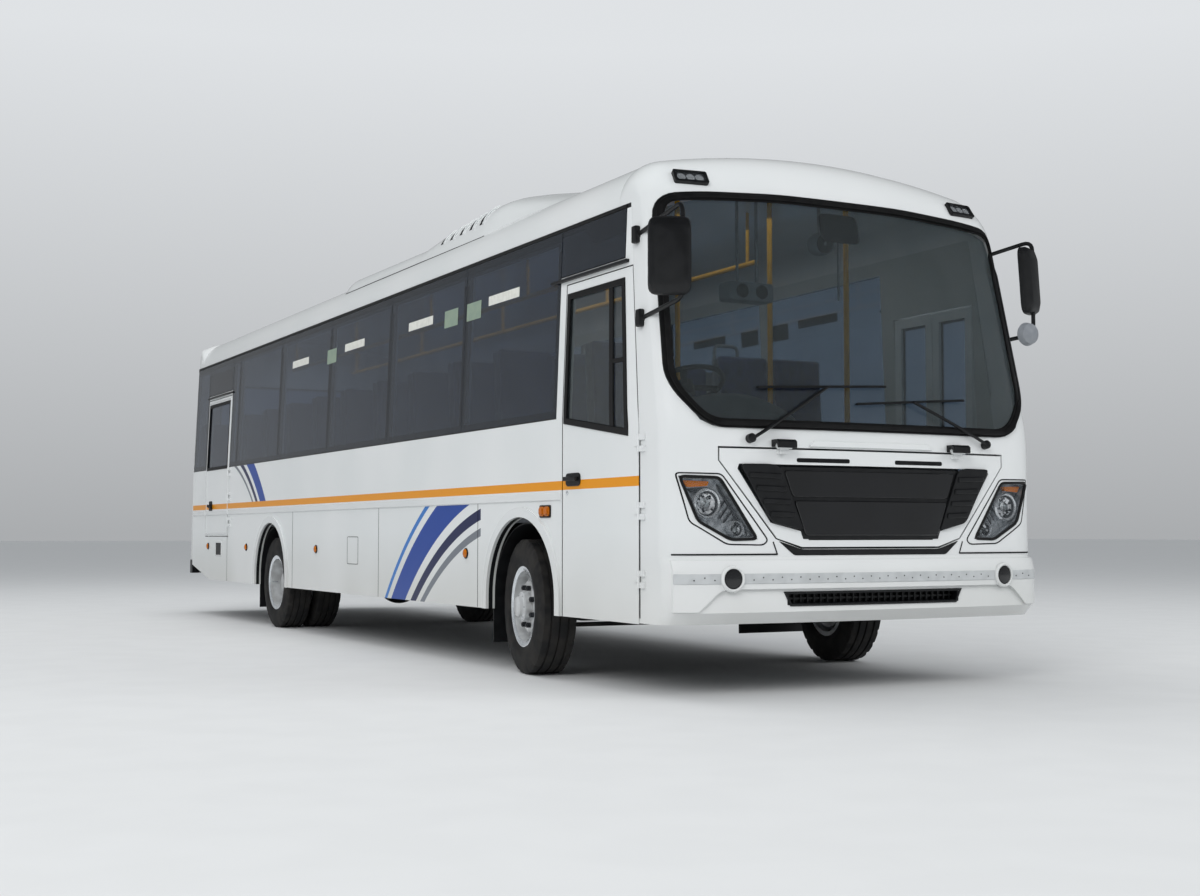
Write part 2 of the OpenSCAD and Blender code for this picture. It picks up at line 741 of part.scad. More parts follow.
// Wipers: [pivot y, pivot z, blade middle y, blade middle z, half blade]
wiper_right_gap = 185;
wiper_left_gap = 225;
wiper_table = [
    [-flap_hinge_y - wiper_right_gap, 1318, -300, 1600, 400],
    [flap_hinge_y + wiper_left_gap, 1325, 300, 1540, 380]
];
wiper_t = 14;
wiper_w = 26;
wiper_boss_r = 26;
wiper_lift = 22;
module wipers() {
    color("black") front_piece(-wiper_lift - wiper_t, -wiper_lift + glass_t) for (w = wiper_table) {
        translate([w[2] - w[4], w[3] - wiper_w / 2]) square([2 * w[4], wiper_w]);
        polygon([[w[0] - wiper_w / 2, w[1]], [w[0] + wiper_w / 2, w[1]],
            [w[2] + wiper_w / 2, w[3]], [w[2] - wiper_w / 2, w[3]]]);
    }
    color("black") front_piece(-wiper_lift - wiper_t, 0) for (w = wiper_table)
        translate([w[0], w[1]]) circle(r = wiper_boss_r);
}

// Chassis
rail_y = 430;
rail_w = 70;
rail_low = 520;
rail_top = 720;
rail_front = 1560;
rail_rear_in = 260;
rail_rear = body_rear + rail_rear_in;
bearer_w = 60;
bearer_count = 12;
bearer_front = -700;
bearers = [for (i = [0 : bearer_count - 1]) rail_rear + i * (bearer_front - rail_rear) / (bearer_count - 1)];
bearer_half = hw - wall_t;
bearer_short = 600;
front_bearer_x = 1330;
front_bearer_edge = 130;
front_bearer_half = hw - front_bearer_edge;
// Cross members, as shares of the wheelbase behind the front axle
cross_shares = [1.283, 0.792, 0.49];
cross_z = 560;
cross_h = 120;
tow_reach = 110;
tow_half = 60;
module tow_eye(x, sign) {
    translate([x, 0, rail_low]) difference() {
        union() {
            translate([sign > 0 ? 0 : -tow_reach, -tow_half, 0]) cube([tow_reach, 2 * tow_half, tow_eye_t]);
            translate([sign * tow_reach, 0, 0]) cylinder(r = tow_half, h = tow_eye_t);
        }
        translate([sign * tow_reach, 0, -over]) cylinder(r = tow_hole_r, h = tow_eye_t + 2 * over);
    }
}
module chassis_frame() {
    color("dimgray") both_sides()
        block([rail_rear, rail_y - rail_w / 2, rail_low], [rail_front, rail_y + rail_w / 2, rail_top]);
}
// Cross members stand between the rails, the end ones with a tow eye
module cross_members() {
    half = rail_y - rail_w / 2;
    color("dimgray") {
        for (q = cross_shares) let (x = q * rear_axle_x)
            block([x, -half, cross_z], [x + bearer_w, half, cross_z + cross_h]);
        for (x = [rail_rear, rail_front - bearer_w])
            block([x, -half, rail_low], [x + bearer_w, half, cross_z + cross_h]);
        tow_eye(rail_front, 1);
        tow_eye(rail_rear, -1);
    }
}
// Bearers lie across the rails and carry the floor
module floor_bearers() {
    color("dimgray") {
        for (x = bearers) let (half = abs(x - rear_axle_x) < liner_in + 2 * bearer_w ? bearer_short : bearer_half)
            block([x, -half, rail_top], [x + bearer_w, half, floor_z - floor_t]);
        block([front_bearer_x, -front_bearer_half, rail_top],
            [front_bearer_x + bearer_w, front_bearer_half, floor_z - floor_t]);
    }
}
beam_half_w = 45;
beam_low = 310;
beam_top = 400;
boss_r = 38;
boss_low = 348;
boss_top = 448;
king_r = 18;
king_clear = 0.05;
module front_axle() {
    color("dimgray") difference() {
        union() {
            block([-beam_half_w, -kingpin_y, beam_low], [beam_half_w, kingpin_y, beam_top]);
            both_sides() translate([0, kingpin_y, boss_low]) cylinder(r = boss_r, h = boss_top - boss_low);
        }
        both_sides() {
            translate([0, kingpin_y, 0]) cylinder(r = king_r + king_clear, h = roof_z);
            block([-2 * beam_half_w, kingpin_y - boss_r - ear_gap, beam_low - over],
                [2 * beam_half_w, kingpin_y + boss_r + over, boss_low]);
        }
    }
}
// Steering knuckle, drawn for the left side with the kingpin on Z and the spindle along +Y
ear_gap = 60;
ear_t = 34;
ear_r = 44;
ear_slit = 6;
spindle_r = 30;
spindle_end = 60;
spindle_clear = 0.05;
fork_in = 44;
fork_t = 20;
arm_l = 170;
arm_w = 40;
arm_low = 296;
arm_pin_r = 12;
arm_pin_low = 252;
arm_t = boss_low - ear_slit - arm_low;
module knuckle() {
    color("gray") {
        translate([0, 0, arm_low]) cylinder(r = king_r, h = boss_top + ear_slit + ear_t - arm_low);
        for (z = [boss_low - ear_slit - ear_t, boss_top + ear_slit]) {
            translate([0, 0, z]) cylinder(r = ear_r, h = ear_t);
            translate([-ear_r, 0, z]) cube([2 * ear_r, fork_in + fork_t, ear_t]);
        }
        translate([-ear_r, fork_in, boss_low - ear_slit]) cube([2 * ear_r, fork_t, boss_top - boss_low + 2 * ear_slit]);
        translate([0, 0, tyre_r]) rod_y(spindle_r, fork_in, front_half_track - kingpin_y + spindle_end);
        translate([-arm_l, -arm_w / 2, arm_low]) cube([arm_l, arm_w, arm_t]);
        translate([-arm_l, 0, arm_low]) cylinder(r = arm_w / 2, h = arm_t);
        translate([-arm_l, 0, arm_pin_low]) cylinder(r = arm_pin_r, h = arm_low - arm_pin_low);
    }
}
// Puts what is drawn about a kingpin on its side, turned to the resting steering angle
module at_kingpin(side) {
    translate([0, side * kingpin_y, 0]) rotate([0, 0, steer_rest_deg])
        if (side > 0) children();
        else mirror([0, 1, 0]) children();
}
module knuckle_right() {
    at_kingpin(right) knuckle();
}
module knuckle_left() {
    at_kingpin(left) knuckle();
}
eye_r = 24;
eye_clear = 0.05;
open_eye_clear = 1;
eye_low = 258;
eye_h = 34;
tie_r = 14;
module tie_eye(clear) {
    difference() {
        cylinder(r = eye_r, h = eye_h);
        translate([0, 0, -over]) cylinder(r = arm_pin_r + clear, h = eye_h + 2 * over);
    }
}
module tie_rod() {
    color("gray") translate([-arm_l * cos(steer_rest_deg), -arm_l * sin(steer_rest_deg), eye_low]) {
        translate([0, -kingpin_y, 0]) tie_eye(eye_clear);
        translate([0, kingpin_y, 0]) tie_eye(open_eye_clear);
        translate([0, 0, eye_h / 2]) rod_y(tie_r, -kingpin_y + eye_r - over, kingpin_y - eye_r + over);
    }
}
axle_tube_r = 70;
// Leaf springs: [axle x, half length, foot of the clamp]
spring_table = [[0, 650, beam_top], [rear_axle_x, 750, tyre_r + axle_tube_r]];
spring_w = 70;
spring_t = 36;
hanger_w = 70;
module leaf_springs() {
    color("dimgray") both_sides() for (s = spring_table)
        along_y(rail_y - spring_w / 2, rail_y + spring_w / 2) {
            rise = rail_low - s[2] - spring_t;
            polygon([[s[0] - s[1], s[2] + rise], [s[0] - s[1] * 0.35, s[2]], [s[0] + s[1] * 0.35, s[2]],
                [s[0] + s[1], s[2] + rise], [s[0] + s[1], s[2] + rise + spring_t],
                [s[0] + s[1] * 0.35, s[2] + spring_t], [s[0] - s[1] * 0.35, s[2] + spring_t],
                [s[0] - s[1], s[2] + rise + spring_t]]);
        }
}
diff_r = 210;
axle_end_gap = 20;
axle_half = rear_half_track - twin_gap - tyre_w / 2 - axle_end_gap;
hub_spindle_r = 50;
module rear_axle() {
    color("dimgray") translate([rear_axle_x, 0, tyre_r]) {
        rod_y(axle_tube_r, -axle_half, axle_half);
        sphere(r = diff_r);
        rod_y(hub_spindle_r, -rear_half_track, rear_half_track);
        translate([0, 0, prop_z - tyre_r]) rod_x(pinion_r, 0, diff_r + pinion_l);
        both_sides() block([-spring_w, rail_y - spring_w / 2, 0], [spring_w, rail_y + spring_w / 2, axle_tube_r]);
    }
}
engine_gap = 65;
engine_half = rail_y - rail_w / 2 - engine_gap;
engine_low = [380, -engine_half, 430];
engine_high = [1300, engine_half, 890];
lug_low = [700, -rail_y + rail_w / 2, 560];
lug_high = [800, rail_y - rail_w / 2, 620];
module engine() {
    color("slategray") {
        block(engine_low, engine_high);
        block(lug_low, lug_high);
    }
}
gearbox_half = 190;
gearbox_l = 620;
gearbox_low = 440;
gearbox_high = 800;
prop_r = 55;
prop_z = 500;
pinion_r = 75;
pinion_l = 40;
module driveline() {
    color("slategray") {
        block([engine_low.x - gearbox_l, -gearbox_half, gearbox_low], [engine_low.x, gearbox_half, gearbox_high]);
        translate([0, 0, prop_z]) rod_x(prop_r, rear_axle_x + diff_r + pinion_l, engine_low.x - gearbox_l);
    }
}
radiator_x = 1540;
radiator_half = 420;
radiator_t = 90;
radiator_top = 1130;
module radiator() {
    color("black") block([radiator_x - radiator_t, -radiator_half, rail_top],
        [radiator_x, radiator_half, radiator_top]);
}
pipe_r = 45;
pipe_gap = 50;
pipe_y = rail_y + rail_w / 2 + pipe_gap + pipe_r;
tank_edge = 100;
fuel_low = [-3700, tank_edge - hw, 420];
fuel_high = [-2500, -560, rail_top];
air_r = 140;
air_z = 560;
strap_w = 40;
// The air tank hangs midway between the exhaust pipe and the wall
air_y = (pipe_y + pipe_r + hw - wall_t) / 2;
air_span = [-3400, -2500];
battery_low = [-2200, 700, 430];
battery_high = [-1500, hw - tank_edge, rail_top];
module tanks() {
    color("dimgray") {
        block(fuel_low, fuel_high);
        translate([0, air_y, air_z]) rod_x(air_r, air_span[0], air_span[1]);
        for (x = bearers) if (x > air_span[0] && x < air_span[1] - bearer_w)
            block([x, air_y - strap_w / 2, air_z], [x + bearer_w, air_y + strap_w / 2, rail_top]);
        block(battery_low, battery_high);
    }
}
silencer_r = 130;
silencer_y = 640;
silencer_z = 570;
silencer_ahead = 900;
silencer_l = 900;
silencer_span = [rear_axle_x + silencer_ahead, rear_axle_x + silencer_ahead + silencer_l];
module exhaust() {
    color("gray") {
        translate([0, silencer_y, silencer_z]) rod_x(silencer_r, silencer_span[0], silencer_span[1]);
        translate([0, pipe_y, silencer_z]) rod_x(pipe_r, silencer_span[1], engine_low.x - gearbox_l);
        for (x = bearers) if (x > silencer_span[0] && x < bearer_front)
            let (y = x < silencer_span[1] ? silencer_y : pipe_y)
                block([x, y - strap_w / 2, silencer_z], [x + bearer_w, y + strap_w / 2, rail_top]);
    }
}

// Floor with a step well inside each front doorway
well_depth = 435;
well_gap = 170;
step_t = 25;
well_front_gap = 10;
well_rear_gap = 12;
well_front = entry_front + well_front_gap;
well_rear = doorway_rear - well_rear_gap;
inner_y = hw - wall_t;
// The upper step reaches to the engine bay's side
well_step = inner_y - well_depth - engine_half - well_gap;
floor_front = pillar_x;
floor_rear_in = 230;
floor_rear = body_rear + floor_rear_in;
step_low_z = 420;
step_mid_z = (step_low_z + floor_z) / 2;
module entry_steps() {
    y0 = inner_y - well_depth;
    union() {
        block([well_rear, y0 - step_t, step_low_z - step_t], [well_front, inner_y, step_low_z]);
        block([well_rear, y0 - step_t, step_low_z], [well_front, y0, step_mid_z]);
        block([well_rear, y0 - well_step - step_t, step_mid_z - step_t], [well_front, y0 - step_t, step_mid_z]);
        block([well_rear, y0 - well_step - step_t, step_mid_z], [well_front, y0 - well_step, floor_z]);
        for (x = [well_rear - step_t, well_front])
            block([x, y0 - well_step - step_t, step_low_z - step_t], [x + step_t, inner_y, floor_z]);
    }
}
// The driver's step: one tread half way up
driver_step_rear = 720;
driver_step_front = 1240;
driver_step_in = 240;
module driver_step() {
    y1 = -inner_y + driver_step_in;
    foot = step_mid_z - step_t;
    block([driver_step_rear, -inner_y + latch_gap, foot], [driver_step_front, y1 + step_t, step_mid_z]);
    block([driver_step_rear, y1, step_mid_z], [driver_step_front, y1 + step_t, floor_z]);
    for (x = [driver_step_rear - step_t, driver_step_front])
        block([x, -inner_y + latch_gap, foot], [x + step_t, y1 + step_t, floor_z]);
}
module floor() {
    color("gray") difference() {
        union() {
            difference() {
                block([floor_rear, -inner_y, floor_z - floor_t], [floor_front, inner_y, floor_z]);
                block([well_rear, inner_y - well_depth - well_step - step_t, 0], [well_front, hw, roof_z]);
                block([driver_step_rear, -hw, 0], [driver_step_front, -inner_y + driver_step_in, roof_z]);
                block([doorway_rear, -hw, 0], [body_front, -inner_y + latch_gap, roof_z]);
                block([emergency_rear, -hw, 0], [-emergency_front, -inner_y + latch_gap, roof_z]);
            }
            entry_steps();
            driver_step();
        }
        translate([entry_axis_x, entry_axis_y, step_low_z - pivot_depth])
            cylinder(r = pivot_r + pivot_clear, h = 2 * pivot_depth);
    }
}

// Inside
dash_edge = 140;
shelf_edge = 320;
dash_half = hw - dash_edge;
dash_rear = 1180;
dash_left = 420;
shelf_half = hw - shelf_edge;
dash_profile = [[0, 0], [255, 0], [255, 330], [400, 330], [400, 365], [260, 400], [60, 330], [0, 200]];
shelf_profile = [[160, 0], [255, 0], [255, 330], [520, 330], [520, 365], [255, 380], [160, 370]];
driver_edge = 600;
driver_y = driver_edge - hw;
hood_half = 240;
hood_profile = [[70, 320], [280, 370], [230, 480], [90, 440]];
cowl_l = 120;
cowl_h = 270;
column_deg = 25;
column_r = 32;
column_top = [900, driver_y, 1640];
column_l = 520;
dash_lift = 30;
shaft_r = 12;
shaft_clear = 0.05;
shaft_in = 15;
module dashboard() {
    color("dimgray") {
        along_y(-dash_half, dash_left) polygon([for (p = dash_profile) [dash_rear + p.x, floor_z + p.y]]);
        along_y(-shelf_half, shelf_half) polygon([for (p = shelf_profile) [dash_rear + p.x, floor_z + p.y]]);
        along_y(driver_y - hood_half, driver_y + hood_half)
            polygon([for (p = hood_profile) [dash_rear + p.x, floor_z + p.y]]);
        translate(column_top) rotate([0, -column_deg, 0]) {
            translate([0, 0, -column_l - dash_lift - hinge_slit]) cylinder(r = column_r, h = column_l);
            translate([0, 0, -column_l]) cylinder(r = shaft_r, h = column_l + shaft_in);
        }
        block([dash_rear - cowl_l, driver_y - column_r, floor_z], [dash_rear, driver_y + column_r, floor_z + cowl_h]);
    }
}
wheel_ring_r = 225;
wheel_grip_r = 15;
wheel_hub_r = 55;
wheel_hub_h = 50;
spoke_w = 34;
spoke_t = 18;
module steering_wheel() {
    color("black") translate(column_top) rotate([0, -column_deg, 0]) difference() {
      union() {
        rotate_extrude() translate([wheel_ring_r, wheel_hub_h / 2]) circle(r = wheel_grip_r);
        translate([0, 0, -dash_lift]) cylinder(r = wheel_hub_r, h = wheel_hub_h + dash_lift);
        for (a = [90, 210, 330]) rotate([0, 0, a])
            translate([0, -spoke_w / 2, (wheel_hub_h - spoke_t) / 2]) cube([wheel_ring_r, spoke_w, spoke_t]);
      }
        translate([0, 0, -dash_lift - over]) cylinder(r = shaft_r + shaft_clear, h = dash_lift + shaft_in + 2 * over);
    }
}
// Seats: pairs in rows, each row at its front edge
row_pitch = 760;
seat_inner = 280;
seat_edge = 80;
seat_outer = hw - seat_edge;
cushion_l = 440;
cushion_t = 110;
cushion_z = 1300;
back_t = 100;
back_lean = 90;
back_top = 2030;
leg_w = 50;
// A row has room as far as the rear wall on the left, and as far as the emergency doorway on the right
seat_l = cushion_l + back_t + back_lean;
rear_room = 60;
left_first = 300;
right_first = -40;
left_row_n = floor((left_first - seat_l - wall_rear - rear_room) / row_pitch);
right_row_n = floor((right_first - seat_l + emergency_front) / row_pitch);
left_rows = [for (i = [0 : left_row_n]) left_first - i * row_pitch];
right_rows = [for (i = [0 : right_row_n]) right_first - i * row_pitch];
driver_seat_x = 640;
driver_half = 250;
bench_x = wall_rear + seat_l - rear_room;
// Every seat as [front edge, inner y, outer y]
seat_table = concat([for (x = left_rows) [x, seat_inner, seat_outer]],
    [for (x = right_rows) [x, -seat_outer, -seat_inner]],
    [[bench_x, -seat_outer, -seat_inner]],
    [[driver_seat_x, driver_y - driver_half, driver_y + driver_half]]);
module seat_bases() {
    color("navy") for (s = seat_table) {
        block([s[0] - cushion_l, s[1], cushion_z], [s[0], s[2], cushion_z + cushion_t]);
        block([s[0] - cushion_l * 0.75, (s[1] + s[2]) / 2 - leg_w, floor_z],
            [s[0] - cushion_l * 0.25, (s[1] + s[2]) / 2 + leg_w, cushion_z]);
    }
}
module seat_backs() {
    color("navy") for (s = seat_table)
        along_y(s[1], s[2]) polygon([[s[0] - cushion_l, cushion_z], [s[0] - cushion_l, cushion_z + cushion_t],
            [s[0] - cushion_l - back_lean + back_t * 0.4, back_top], [s[0] - cushion_l - back_lean - back_t * 0.4, back_top],
            [s[0] - cushion_l - back_t, cushion_z]]);
}
rail_tube_r = 16;
ceiling_rail_y = 330;
ceiling_rail_z = 2560;
hanger_step = 1900;
hanger_first = 100;
rail_span = [wall_rear + 11 * rear_room, 2 * hanger_first];
stanchions = [[470, 250], [330, -330], [1060, 390]];
rail_in = 25;
module grab_rails() {
    color("gold") difference() {
      union() {
        both_sides() translate([0, ceiling_rail_y, ceiling_rail_z]) rod_x(rail_tube_r, rail_span[0], rail_span[1]);
        both_sides() for (x = [hanger_first : -hanger_step : rail_span[0]])
            tube(rail_tube_r * 0.7, [x, ceiling_rail_y, ceiling_rail_z],
                [x, ceiling_rail_y, roof_z - 2 * rail_in]);
        for (p = stanchions) translate([p.x, p.y, floor_z]) cylinder(r = rail_tube_r, h = roof_z - rail_in - floor_z);
      }
        skin(roof_stations, 0, wall_t);
    }
}

// Doors
module hinged_door(side) {
    wall_piece(side, 0, wall_t) children();
}
module driver_door() {
    color("white") {
        hinged_door(right) difference() {
            driver_doorway(door_gap, latch_gap, skirt_z);
            driver_window(0);
        }
        for (z = driver_hinge_heights) translate([driver_axis_x, door_axis_y, 0]) hinge_moving(z, hinge_lift);
    }
}
module driver_door_glass() {
    color("darkslategray") wall_piece(right, glass_t, 2 * glass_t) driver_window(0);
}
module emergency_door() {
    color("white") {
        hinged_door(right) difference() {
            emergency_doorway(door_gap, latch_gap);
            emergency_window();
        }
        for (z = emergency_hinge_heights) translate([emergency_axis_x, door_axis_y, 0]) hinge_moving(z, hinge_lift);
    }
}
module emergency_door_glass() {
    color("darkslategray") wall_piece(right, glass_t, 2 * glass_t) emergency_window();
}
module door_hinges() {
    color("black") {
        for (z = driver_hinge_heights) translate([driver_axis_x, door_axis_y, 0]) hinge_fixed(z, hinge_lift);
        for (z = emergency_hinge_heights) translate([emergency_axis_x, door_axis_y, 0]) hinge_fixed(z, hinge_lift);
        both_sides() difference() {
            translate([flap_axis_x, flap_hinge_y, flap_axis_z]) {
                rod_y(flap_pin_r, -flap_hinge_half - flap_cheek, flap_hinge_half + flap_cheek);
                for (s = [-1, 1]) translate([0, s * (flap_hinge_half + flap_cheek / 2), 0]) {
                    rod_y(flap_hinge_r, -flap_cheek / 2, flap_cheek / 2);
                    block([-flap_axis_out - wall_t, -flap_cheek / 2, 0], [0, flap_cheek / 2, 3 * flap_hinge_r]);
                }
            }
            skin(front_stations(bumper_top_z), 0, 2 * wall_t);
        }
    }
}
flap_frame_t = 26;
flap_frame = 70;
module front_flap() {
    color("white") {
        difference() {
            front_piece(0, flap_t) flap_outline(0);
            front_cut() grille_outline();
        }
        both_sides() difference() {
            translate([flap_axis_x, flap_hinge_y, flap_axis_z]) union() {
                rod_y(flap_hinge_r, -flap_hinge_half + hinge_slit, flap_hinge_half - hinge_slit);
                block([-flap_hinge_r, -flap_hinge_half + hinge_slit, -3 * flap_hinge_r],
                    [0, flap_hinge_half - hinge_slit, 0]);
                block([-flap_axis_out - 4 * flap_t, -flap_hinge_half + hinge_slit, -3 * flap_hinge_r],
                    [0, flap_hinge_half - hinge_slit, -flap_axis_up]);
            }
            translate([flap_axis_x, flap_hinge_y, flap_axis_z]) rod_y(flap_pin_r + hinge_clear, -wall_t, wall_t);
        }
    }
}
grille_proud = 2;
grille_in = 12;
module grille() {
    color("black") front_piece(-grille_proud, grille_in) grille_outline();
}
leaf_frame = 60;
leaf_window_low = 700;
module entry_leaf(x0, x1) {
    difference() {
        block([x0, leaf_outer_y - leaf_t, entry_foot], [x1, leaf_outer_y, entry_top - entry_gap]);
        block([x0 + leaf_frame, 0, leaf_window_low], [x1 - leaf_frame, hw, entry_top - entry_gap - leaf_frame]);
    }
}
module leaf_glass(x0, x1) {
    color("darkslategray") block([x0 + leaf_frame, leaf_outer_y - leaf_t / 2, leaf_window_low],
        [x1 - leaf_frame, leaf_outer_y - leaf_t / 2 + glass_t, entry_top - entry_gap - leaf_frame]);
}
front_leaf_span = [entry_fold_x + leaf_fold_gap, entry_axis_x + leaf_end];
rear_leaf_span = [entry_axis_x - 2 * leaf_l - leaf_end, entry_fold_x - leaf_fold_gap];
// Leaf hinges lie on the outer face, seen from the left side
module at_fold() {
    translate([entry_fold_x, entry_fold_y, 0]) mirror([0, 1, 0]) children();
}
module entry_leaf_front() {
    color("white") {
        entry_leaf(front_leaf_span[0], front_leaf_span[1]);
        for (z = leaf_hinge_heights) at_fold() hinge_fixed(z);
        translate([entry_axis_x, entry_axis_y, step_low_z - pivot_in]) {
            cylinder(r = pivot_r, h = entry_foot - step_low_z + pivot_in + over);
            translate([0, 0, entry_top - entry_gap - over - step_low_z + pivot_in])
                cylinder(r = pivot_r, h = entry_gap + over + pivot_in);
        }
    }
}
module entry_leaf_rear() {
    color("white") {
        entry_leaf(rear_leaf_span[0], rear_leaf_span[1]);
        for (z = leaf_hinge_heights) at_fold() hinge_moving(z);
    }
}
module entry_glass_front() {
    leaf_glass(front_leaf_span[0], front_leaf_span[1]);
}
module entry_glass_rear() {
    leaf_glass(rear_leaf_span[0], rear_leaf_span[1]);
}

// Wheels, drawn about the Z axis with the outside up, from the tyre's middle
rim_half = 98;
barrel_r = 222;
barrel_t = 12;
disc_t = 12;
nut_ring_r = 125;
nut_land = 20;
hub_r = 88;
hub_out = 112;
drum_r = 180;
hand_holes = 8;
hand_hole_r = 24;
hand_hole_ring = 172;
bead_w = 14;
// Rim section as [radius, height] around one tyre's middle; the disc stands at disc_z
function rim_points(disc_in, disc_out) = [[rim_r, rim_half], [rim_r, rim_half - bead_w],
    [barrel_r, rim_half - 2 * bead_w], [barrel_r, -rim_half + 2 * bead_w], [rim_r, -rim_half + bead_w],
    [rim_r, -rim_half], [barrel_r - barrel_t, -rim_half], [barrel_r - barrel_t, disc_in - disc_t],
    [nut_ring_r + nut_land, disc_out - disc_t], [spindle_r + spindle_clear, disc_out - disc_t], [spindle_r + spindle_clear, disc_out],
    [nut_ring_r + nut_land, disc_out], [barrel_r - barrel_t, disc_in], [barrel_r - barrel_t, rim_half]];
module hand_hole_cut(z) {
    for (i = [0 : hand_holes - 1]) rotate([0, 0, i * 360 / hand_holes])
        translate([hand_hole_ring, 0, z]) cylinder(r = hand_hole_r, h = rim_half);
}
front_disc_in = 20;
front_disc_out = 72;
module front_wheel() {
    color("silver") difference() {
        union() {
            rotate_extrude() polygon(rim_points(front_disc_in, front_disc_out));
            translate([0, 0, -rim_half + bead_w]) cylinder(r = hub_r, h = hub_out + rim_half - bead_w);
            translate([0, 0, -rim_half + bead_w]) cylinder(r = drum_r, h = rim_half - bead_w);
        }
        hand_hole_cut(over);
        translate([0, 0, -rim_half]) cylinder(r = spindle_r + spindle_clear, h = rim_half + spindle_end + over);
    }
}
sidewall = 40;
shoulder = 26;
tread_half_share = 0.86;
module tyre() {
    half = tyre_w / 2;
    color("black") rotate_extrude() polygon([[rim_r, rim_half], [rim_r + sidewall, half * 0.97],
        [rim_r + 2 * sidewall, half], [tyre_r - 1.4 * shoulder, half * 0.97], [tyre_r - 0.4 * shoulder, half * 0.9],
        [tyre_r, half * tread_half_share - shoulder * 0.3], [tyre_r, -half * tread_half_share + shoulder * 0.3],
        [tyre_r - 0.4 * shoulder, -half * 0.9], [tyre_r - 1.4 * shoulder, -half * 0.97], [rim_r + 2 * sidewall, -half],
        [rim_r + sidewall, -half * 0.97], [rim_r, -rim_half], [rim_r, -rim_half + bead_w],
        [barrel_r, -rim_half + 2 * bead_w], [barrel_r, rim_half - 2 * bead_w], [rim_r, rim_half - bead_w]]);
}
// Turns a wheel's outside to the side of the bus
module outwards() {
    rotate([-90, 0, 0]) children();
}
module at_front_wheel(side) {
    at_kingpin(side) translate([0, front_half_track - kingpin_y, tyre_r]) outwards() children();
}
module at_rear_wheel(side) {
    mirror([0, side > 0 ? 0 : 1, 0]) translate([rear_axle_x, rear_half_track, tyre_r]) outwards() children();
}
module wheel_front_right() {
    at_front_wheel(right) front_wheel();
}
module wheel_front_left() {
    at_front_wheel(left) front_wheel();
}
module tyre_front_right() {
    at_front_wheel(right) tyre();
}
module tyre_front_left() {
    at_front_wheel(left) tyre();
}
rear_disc_in = -50;
rear_hub_r = 120;
rear_hub_out = 150;
drum_t = 140;
module rear_wheel() {
    meet = -twin_gap / 2;
    color("silver") difference() {
        union() {
            rotate_extrude() polygon(rim_points(rear_disc_in, meet + disc_t));
            translate([0, 0, -twin_gap]) mirror([0, 0, 1]) rotate_extrude() polygon(rim_points(rear_disc_in, meet + disc_t));
            translate([0, 0, meet - drum_t]) cylinder(r = rear_hub_r, h = drum_t + rear_hub_out);
            translate([0, 0, meet - drum_t]) cylinder(r = drum_r, h = drum_t / 2);
        }
        translate([0, 0, -3 * twin_gap]) cylinder(r = hub_spindle_r + spindle_clear, h = 3 * twin_gap + over);
        hand_hole_cut(meet - drum_t / 2 + over);
    }
}
module wheel_rear_right() {
    at_rear_wheel(right) rear_wheel();
}
module wheel_rear_left() {
    at_rear_wheel(left) rear_wheel();
}
module twin_tyres() {
    tyre();
    translate([0, 0, -twin_gap]) tyre();
}
module tyres_rear_right() {
    at_rear_wheel(right) twin_tyres();
}
module tyres_rear_left() {
    at_rear_wheel(left) twin_tyres();
}

translate([front_axle_x, 0, 0]) {
    chassis_frame();
    cross_members();
    floor_bearers();
    front_axle();
    rear_axle();
    leaf_springs();
    engine();
    driveline();
    radiator();
    tanks();
    exhaust();
    floor();
    side_wall_right();
    side_wall_left();
    roof();
    front_fascia();
    rear_wall();
    front_bumper();
    rear_bumper();
    windscreen();
    windscreen_seal();
    rear_window();
    side_glass();
    roof_pod();
    headlamps();
    rear_lamps();
    side_lamps();
    mirrors();
    wipers();
    dashboard();
    seat_bases();
    seat_backs();
    grab_rails();
    arch_flares();
    mudguards();
    door_hinges();
    front_flap();
    grille();
    driver_door();
    driver_door_glass();
    emergency_door();
    emergency_door_glass();
    entry_leaf_front();
    entry_glass_front();
    entry_leaf_rear();
    entry_glass_rear();
    knuckle_right();
    knuckle_left();
    tie_rod();
    wheel_front_right();
    tyre_front_right();
    wheel_front_left();
    tyre_front_left();
    wheel_rear_right();
    tyres_rear_right();
    wheel_rear_left();
    tyres_rear_left();
    steering_wheel();
}
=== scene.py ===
"""Looks of the midi bus: finishes, lamps, trim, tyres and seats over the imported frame."""
import json
import math

import bmesh
import bpy
from mathutils import Matrix, Vector
from mathutils.bvhtree import BVHTree


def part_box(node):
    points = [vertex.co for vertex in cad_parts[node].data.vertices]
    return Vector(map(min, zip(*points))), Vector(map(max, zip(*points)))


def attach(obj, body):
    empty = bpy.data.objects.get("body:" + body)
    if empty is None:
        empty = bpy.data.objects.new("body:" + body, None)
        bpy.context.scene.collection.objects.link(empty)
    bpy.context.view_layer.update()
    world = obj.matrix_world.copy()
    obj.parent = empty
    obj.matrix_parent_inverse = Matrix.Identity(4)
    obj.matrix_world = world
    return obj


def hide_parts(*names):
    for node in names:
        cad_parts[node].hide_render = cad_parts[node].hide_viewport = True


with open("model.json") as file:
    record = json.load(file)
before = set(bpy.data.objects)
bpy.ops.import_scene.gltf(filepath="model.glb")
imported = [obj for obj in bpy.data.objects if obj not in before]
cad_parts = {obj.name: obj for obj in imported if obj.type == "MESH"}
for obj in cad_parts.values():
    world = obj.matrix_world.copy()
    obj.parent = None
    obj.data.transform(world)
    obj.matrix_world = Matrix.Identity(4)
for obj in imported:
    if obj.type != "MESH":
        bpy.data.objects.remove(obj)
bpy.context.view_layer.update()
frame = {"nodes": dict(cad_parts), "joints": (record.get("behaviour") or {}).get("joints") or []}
nodes = frame["nodes"]
joints = {joint["name"]: joint for joint in frame["joints"]}
scene = bpy.context.scene

